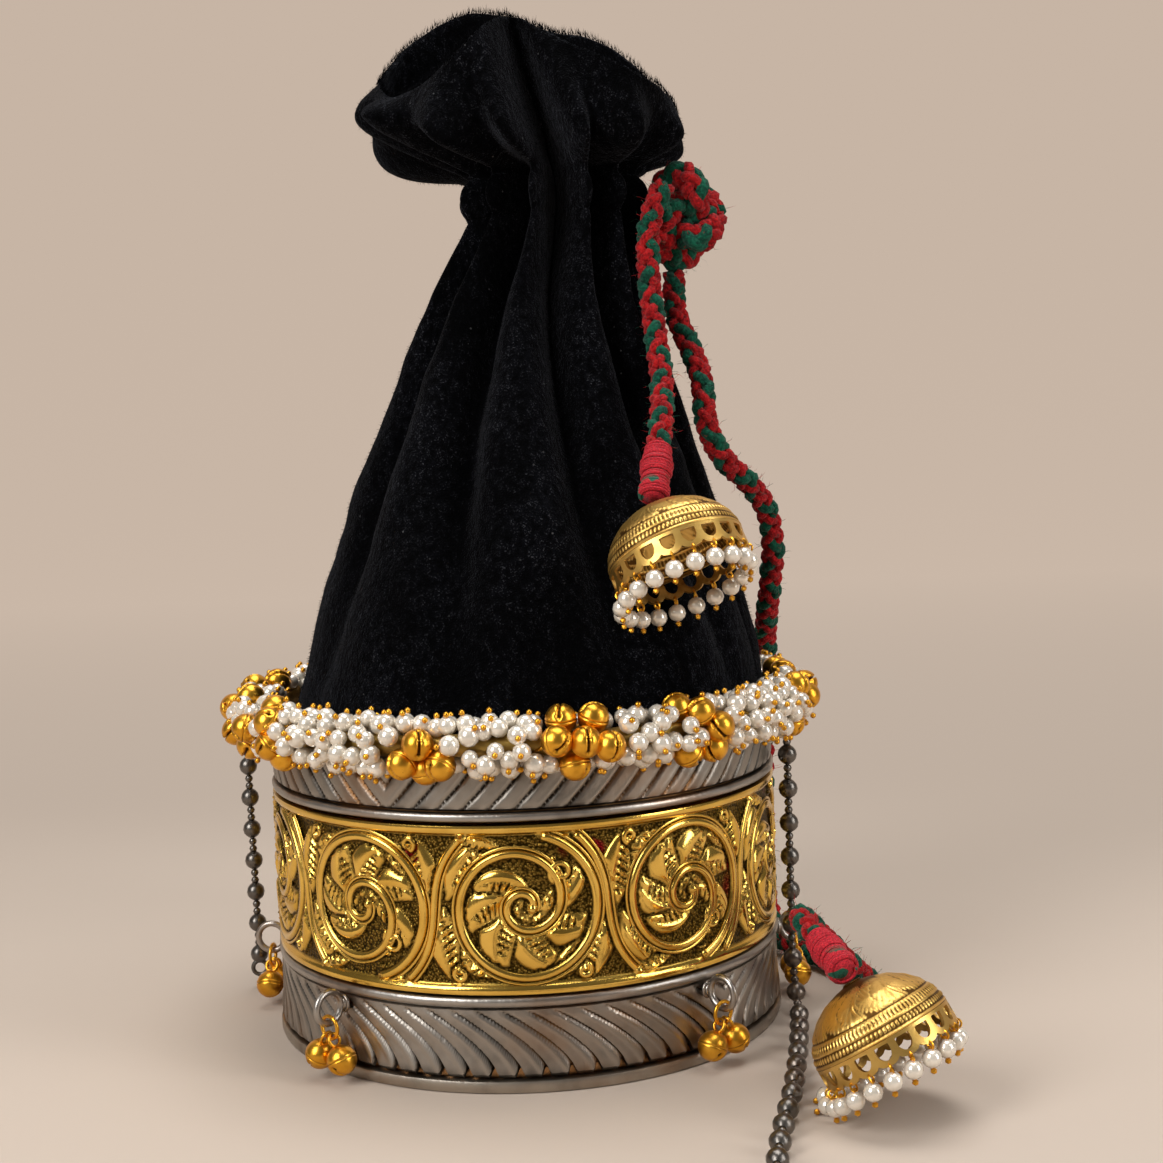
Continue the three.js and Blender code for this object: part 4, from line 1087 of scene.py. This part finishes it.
def jhumka(tag, apex, axis):
    """One cap with its gallery, and the pearls that hang from it, on its place at a cord's end."""
    mouth = Vector(apex) - Vector(axis) * JHUMKA_HIGH
    place = stood(mouth, axis)

    def hung(start, long, clear):
        """The end of a pin hanging from a point, turned aside where the table stops it."""
        way = Vector((0, 0, -0.8)) - 0.25 * Vector(axis)
        way.normalize()
        if start.z + long * way.z < clear:
            aside = (start - mouth).to_2d().normalized()
            drop = (clear - start.z) / long
            way = Vector((*(aside * math.sqrt(1 - drop * drop)), drop))
        return start + way * long

    pearls, pins = bmesh.new(), bmesh.new()
    for i in range(ARCHES):
        turn = 2 * math.pi * (i + 0.5) / ARCHES
        rim = place @ Vector((15.2 * math.cos(turn), 15.2 * math.sin(turn), 0.3))
        pearl_at = hung(rim, 3.5, 2.15)
        ball(pearls, pearl_at, PEARL_R)
        ball(pins, hung(pearl_at, 2.6, 0.8), 0.74, 1)
        loop_turn = place.to_3x3() @ Matrix.Rotation(turn, 3, "Z")
        ring_wire(pins, rim.lerp(pearl_at, 0.2), 0.95, 0.26, loop_turn, 12, 6)
        ball(pins, rim.lerp(pearl_at, 0.36), 0.5, 1)
    made = []
    parts = (
        ("cap", leafy_dome(), antique_gilt, "antique_brass", [f"jhumka_dome_{tag}"]),
        ("gallery", gallery(), antique_gilt, "antique_brass", []),
        ("pearls", pearls, pearl_lustre, "pearl", [f"jhumka_fringe_{tag}"]),
        ("pins", pins, bright_gilt, "gilt_brass", []),
    )
    for name, bm, look, slot, nodes in parts:
        if name in ("cap", "gallery"):
            bmesh.ops.transform(bm, matrix=place, verts=bm.verts)
        made.append(piece(f"jhumka_{name}_{tag}", bm, look, slot, nodes, crease=35))
    return made


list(jhumka("a", apex_a, axis_a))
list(jhumka("b", apex_b, axis_b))


# Garland: a stuffed core sewn round the rim, thick with pearls on gold-headed pins.
# Groups of pressed gilt bells sit among them, each with a seam round it and a slot across.
GARLAND_R, GARLAND_Z, BELL_R, CLEAR_OF_BELLS, CLEAR_OF_PEARLS = 67.5, 79.2, 3.5, 5.2, 3.3


def garland_point(azimuth, turn, reach):
    """A point off the core: how far round the rim, how far round the core, and how far out of it."""
    a, t = math.radians(azimuth), math.radians(turn)
    out = GARLAND_R + reach * math.cos(t)
    return Vector((out * math.sin(a), -out * math.cos(a), GARLAND_Z + reach * math.sin(t)))


def spread_out(bm, places):
    """Repeats the whole mesh at each of the places."""
    first = [*bm.verts, *bm.edges, *bm.faces]
    for place in places[1:]:
        copy = bmesh.ops.duplicate(bm, geom=first)["geom"]
        bmesh.ops.transform(bm, matrix=place, verts=[v for v in copy if isinstance(v, bmesh.types.BMVert)])
    bmesh.ops.transform(bm, matrix=places[0], verts=[v for v in first if isinstance(v, bmesh.types.BMVert)])
    return bm


def jingle():
    """One bell with its slot downwards and the wire loop on top, its middle at the origin."""
    rows = (
        -90, -83, -76, -68, -59, -50, -41, -33, -27, -22, -17, -10, -5, -2.5, 0, 2.5, 5, 10, 20, 32, 45, 58,
        70, 80, 90,
    )
    bm, flat = flat_grid(38, len(rows) - 1)
    layer = bm.verts.layers.float.new("recess_and_shade")
    for v, (share, climb) in zip(bm.verts, flat):
        turn = 2 * math.pi * share - 0.36 * math.sin(4 * math.pi * share)
        up = rows[round(climb * (len(rows) - 1))]
        level = BELL_R * math.cos(math.radians(up))
        along, across = level * math.cos(turn), abs(level * math.sin(turn))
        hole = math.hypot(across, BELL_R * math.radians(up + 26))
        slot = float(max(eased(0.42, 0.24, across) * eased(-24, -30, up), eased(0.75, 0.45, hole)))
        seam = math.exp(-((up / 2.4) ** 2))
        lip = math.exp(-(((abs(up) - 6) / 3.0) ** 2))
        r = BELL_R - 0.16 * seam + 0.07 * lip - 0.9 * slot
        across = math.copysign(across, math.sin(turn))
        v.co = (along * r / BELL_R, across * r / BELL_R, r * math.sin(math.radians(up)))
        # The slot and the holes at its ends are only shallow dips, painted dark: painted shade standing in
        # for the open slot. The darker seam is the bell's own.
        v[layer] = max(slot, 0.85 * seam)
    sealed(bm, 1e-4)
    ring_wire(bm, (0, 0, BELL_R + 1.3), 1.5, 0.4, steps=16, sides=8)
    return bm


# Each bell of each group by its azimuth and its turn about the core.
BELLS = {
    "left": (
        (-96, 66), (-103, 104), (-92, 4), (-78, 86), (-82, 24), (-84, -44), (-57, 92), (-53, 38), (-62, 6),
        (-73, -24), (-52, -24), (-66, -58), (-51, -70),
    ),
    "front_left": ((-16.5, 13), (-20, -42), (-13, -46), (-16.5, -82)),
    "front_right": ((9, 97), (15, 86), (7.5, 14), (12.5, 8), (16.8, -8), (11, -70)),
    "right_front": ((33, 98), (36, 54), (39, 7), (39, -56), (34, -74)),
    "right": ((94, 106), (86, 98), (74, 52), (84, 30), (78, 6), (70, -60), (92, -15)),
    "rear": ((164, 60), (171, 10), (167, -50), (179, 75), (180, -5), (190, 20)),
}
# The azimuths that each run of pearls fills.
PEARLS = {
    "left": (-46, -25), "front": (-8, 3), "front_right": (20.5, 29), "right": (43, 60),
    "rear_right": (102, 160), "rear_left": (196, 247),
}
core_gilt = gilt_finish("core_wire", (0.42, 0.27, 0.07), (0.26, 0.16, 0.04), (0.05, 0.03, 0.01), 0.4)
core = bmesh.new()
ring_wire(core, (0, 0, GARLAND_Z), GARLAND_R, 2.5, Matrix.Rotation(math.pi / 2, 3, "X"), 160, 12)
for v in core.verts:
    lumps = [noise.noise(v.co * 0.7 + Vector((shift, 0, 0))) for shift in (0, 40.3, 80.7)]
    v.co += Vector(lumps) * 0.35
piece("garland_core", core, core_gilt, "gilt_brass")

chance = np.random.default_rng(21)
bell_spots = []
for name, bells in BELLS.items():
    places = []
    for azimuth, turn in bells:
        spot = garland_point(azimuth, turn, 5.1)
        outward = (spot - garland_point(azimuth, 0, 0)).normalized() + Vector(chance.normal(0, 0.45, 3))
        facing = Vector((0, 0, -1)).rotation_difference(outward).to_matrix()
        facing = facing @ Matrix.Rotation(chance.uniform(0, 6), 3, "Z")
        places.append(Matrix.Translation(spot) @ facing.to_4x4())
        bell_spots.append(spot)
    bells_mesh = spread_out(jingle(), places)
    piece(f"bells_{name}", bells_mesh, bright_gilt, "gilt_brass", [f"garland_bells_{name}"], crease=0)

taken = np.array(bell_spots)
strung = np.zeros((1, 3))
by_run = {name: [] for name in PEARLS}
among_bells, pin_spots = [], []
for _ in range(20000):
    azimuth, turn = chance.uniform(-113, 247), chance.uniform(-118, 150)
    spot = garland_point(azimuth, turn, chance.uniform(4.1, 5.7))
    here = np.array(spot)
    from_bell, from_pearl = (np.linalg.norm(spots - here, axis=1).min() for spots in (taken, strung))
    if from_bell < CLEAR_OF_BELLS or from_pearl < CLEAR_OF_PEARLS:
        continue
    strung = np.vstack([strung, here])
    home = [name for name, (low, high) in PEARLS.items() if low <= azimuth < high]
    size = chance.uniform(0.95, 1.16)
    (by_run[home[0]] if home else among_bells).append(Matrix.Translation(spot) @ Matrix.Scale(size, 4))
    out = (spot - garland_point(azimuth, 0, 0)).normalized() + Vector(chance.normal(0, 0.4, 3))
    pin_spots.append(Matrix.Translation(spot + out.normalized() * 2.55 * size))


def balls(places, radius, rings=2):
    """One round bead at each of the places."""
    bm = bmesh.new()
    ball(bm, (0, 0, 0), radius, rings)
    return spread_out(bm, places)


for name, places in by_run.items():
    run = balls(places, PEARL_R)
    piece(f"pearls_{name}", run, pearl_lustre, "pearl", [f"garland_pearls_{name}"], crease=0)
piece("pearls_among_bells", balls(among_bells, PEARL_R), pearl_lustre, "pearl", crease=0)
piece("pin_heads", balls(pin_spots, 0.78, 1), bright_gilt, "gilt_brass", crease=0)

# Bell drops: a thick silver ring stands out of a coiled boss on the skirt, and a thin gilt ring
# hangs in it with two bells by their wire loops. Ring and bells swing freely.
DROPS = (("front_left", -41), ("front_right", 41), ("left", -97), ("right", 91), ("rear", 180))
DROP_REACH, HANGER_Z, JUMP_Z, BELL_BELOW = 68.7, 17.4, 12.75, 7.75
edge_on = Matrix.Rotation(math.pi / 2, 3, "Z")
for name, azimuth in DROPS:
    stand = Matrix.Rotation(math.radians(azimuth - 90), 4, "Z")
    swings = {"look": bright_gilt, "slot": "gilt_brass", "body": f"drop_{name}", "crease": 0}
    hanger, jump = bmesh.new(), bmesh.new()
    ring_wire(hanger, (DROP_REACH, 0, HANGER_Z), 3.6, 0.8, steps=36, sides=12)
    for reach, size, wire in ((64.35, 1.75, 0.42), (64.75, 1.15, 0.4), (65.05, 0.5, 0.4)):
        ring_wire(hanger, (reach, 0, HANGER_Z), size, wire, edge_on, 20, 8)
    ring_wire(jump, (DROP_REACH, 0, JUMP_Z), 2.6, 0.45, edge_on, 30, 10)
    for bm in (hanger, jump):
        bmesh.ops.transform(bm, matrix=stand, verts=bm.verts)
    piece(f"drop_hanger_{name}", hanger, wire_silver, "oxidised_silver", [f"hanger_ring_{name}"], crease=0)
    piece(f"drop_ring_{name}", jump, nodes=[f"jump_ring_{name}"], **swings)
    for side, spread in (("l", -28.1), ("r", 28.1)):
        swing = Matrix.Translation((DROP_REACH, 0, JUMP_Z)) @ Matrix.Rotation(math.radians(spread), 4, "X")
        bell = spread_out(jingle(), [stand @ swing @ Matrix.Translation((0, 0, -BELL_BELOW))])
        piece(f"drop_{name}_{side}", bell, nodes=[f"drop_bell_{name}_{side}"], **swings)

# Chain: gunmetal beads linked by wire, a large one and two small ones in turn.
# The short strand ends in a ring, and the long one runs over the table to a flat clasp.
BEAD_PITCH, LARGE_AT, SMALL_AT = 8.6, 2.6, (6.05, 8.05)
gunmetal = silver_finish("gunmetal", (0.15, 0.135, 0.12), (0.02, 0.017, 0.014), 0.5)


def bead_chain(name, line, nodes):
    """Beads of both sizes threaded on a wire along a line."""
    gone = gone_along(line)
    ahead = np.gradient(line, axis=0)

    def places(first):
        spots = []
        for at in np.arange(first, gone[-1] - 1.0, BEAD_PITCH):
            spot, way = ([np.interp(at, gone, rows[:, k]) for k in range(3)] for rows in (line, ahead))
            spots.append(stood(spot, way))
        return spots

    chain = bmesh.new()
    large = [(0.5, -2.25), (0.85, -2.36), (1.05, -2.2), (1.6, -1.8), (2.15, -1.1), (2.4, 0)]
    small = [(0.35, -1.0), (0.8, -0.7), (1.08, 0)]
    small_places = [place for first in SMALL_AT for place in places(first)]
    for half, steps, spots in ((large, 14, places(LARGE_AT)), (small, 8, small_places)):
        bead = turned([*half, *[(r, -h) for r, h in half[-2::-1]]], steps)
        spread_out(bead, spots)
        held = bpy.data.meshes.new("beads")
        bead.to_mesh(held)
        bead.free()
        chain.from_mesh(held)
        bpy.data.meshes.remove(held)
    strands([(line, np.full(len(line), 0.45), 0)], 6, chain)
    return piece(name, chain, gunmetal, "gunmetal", nodes, crease=50)


# The short strand by reach and height on its azimuth, and the long one by its points.
CHAIN_LEFT = (
    (69.82, 77.46), (72.9, 75.2), (75.5, 72.3), (77.1, 68.8), (77.9, 64.5), (78, 58), (77.8, 40), (77.5, 8),
)
away = math.radians(-106.5)
left_line = smooth_line([(r * math.sin(away), -r * math.cos(away), z) for r, z in CHAIN_LEFT], 0.8)
chain_left = bead_chain("chain_short", left_line, ["chain_left"])
end_ring = bmesh.new()
ring_wire(end_ring, left_line[-1] - (0, 0, 2.8), 1.9, 0.6, steps=24, sides=8)
end_ring = piece("chain_ring", end_ring, gunmetal, "gunmetal", ["chain_end_ring"], crease=0)

CHAIN_RIGHT = (
    (66.025, -14.034, 76.3), (66.025, -14.034, 45), (66.025, -14.034, 16), (66.1, -14.8, 11.4),
    (66.2, -17.3, 6.9), (66.1, -21.3, 4), (65.8, -26.4, 2.9), (64.5, -36, 2.9), (61.5, -55, 2.9),
    (57.5, -76, 2.9), (52, -100, 2.9), (48.6, -120, 2.9), (47.4, -136, 2.9), (46.8, -152, 2.9),
    (38, -172, 2.9), (18, -179.6, 2.9), (-1.4, -171.2, 2.9), (-8.8, -152, 2.9), (-0.6, -133.4, 2.9),
    (18, -126.6, 2.9), (34.6, -135, 2.9), (40.4, -150, 2.9), (38, -159.4, 2.9), (31.2, -165.4, 2.9),
    (22.5, -165.2, 2.9),
)
right_line = smooth_line(CHAIN_RIGHT, 0.8)
chain_right = bead_chain("chain_long", right_line, ["chain_right"])
clasp = as_drawn("chain_clasp", gunmetal)
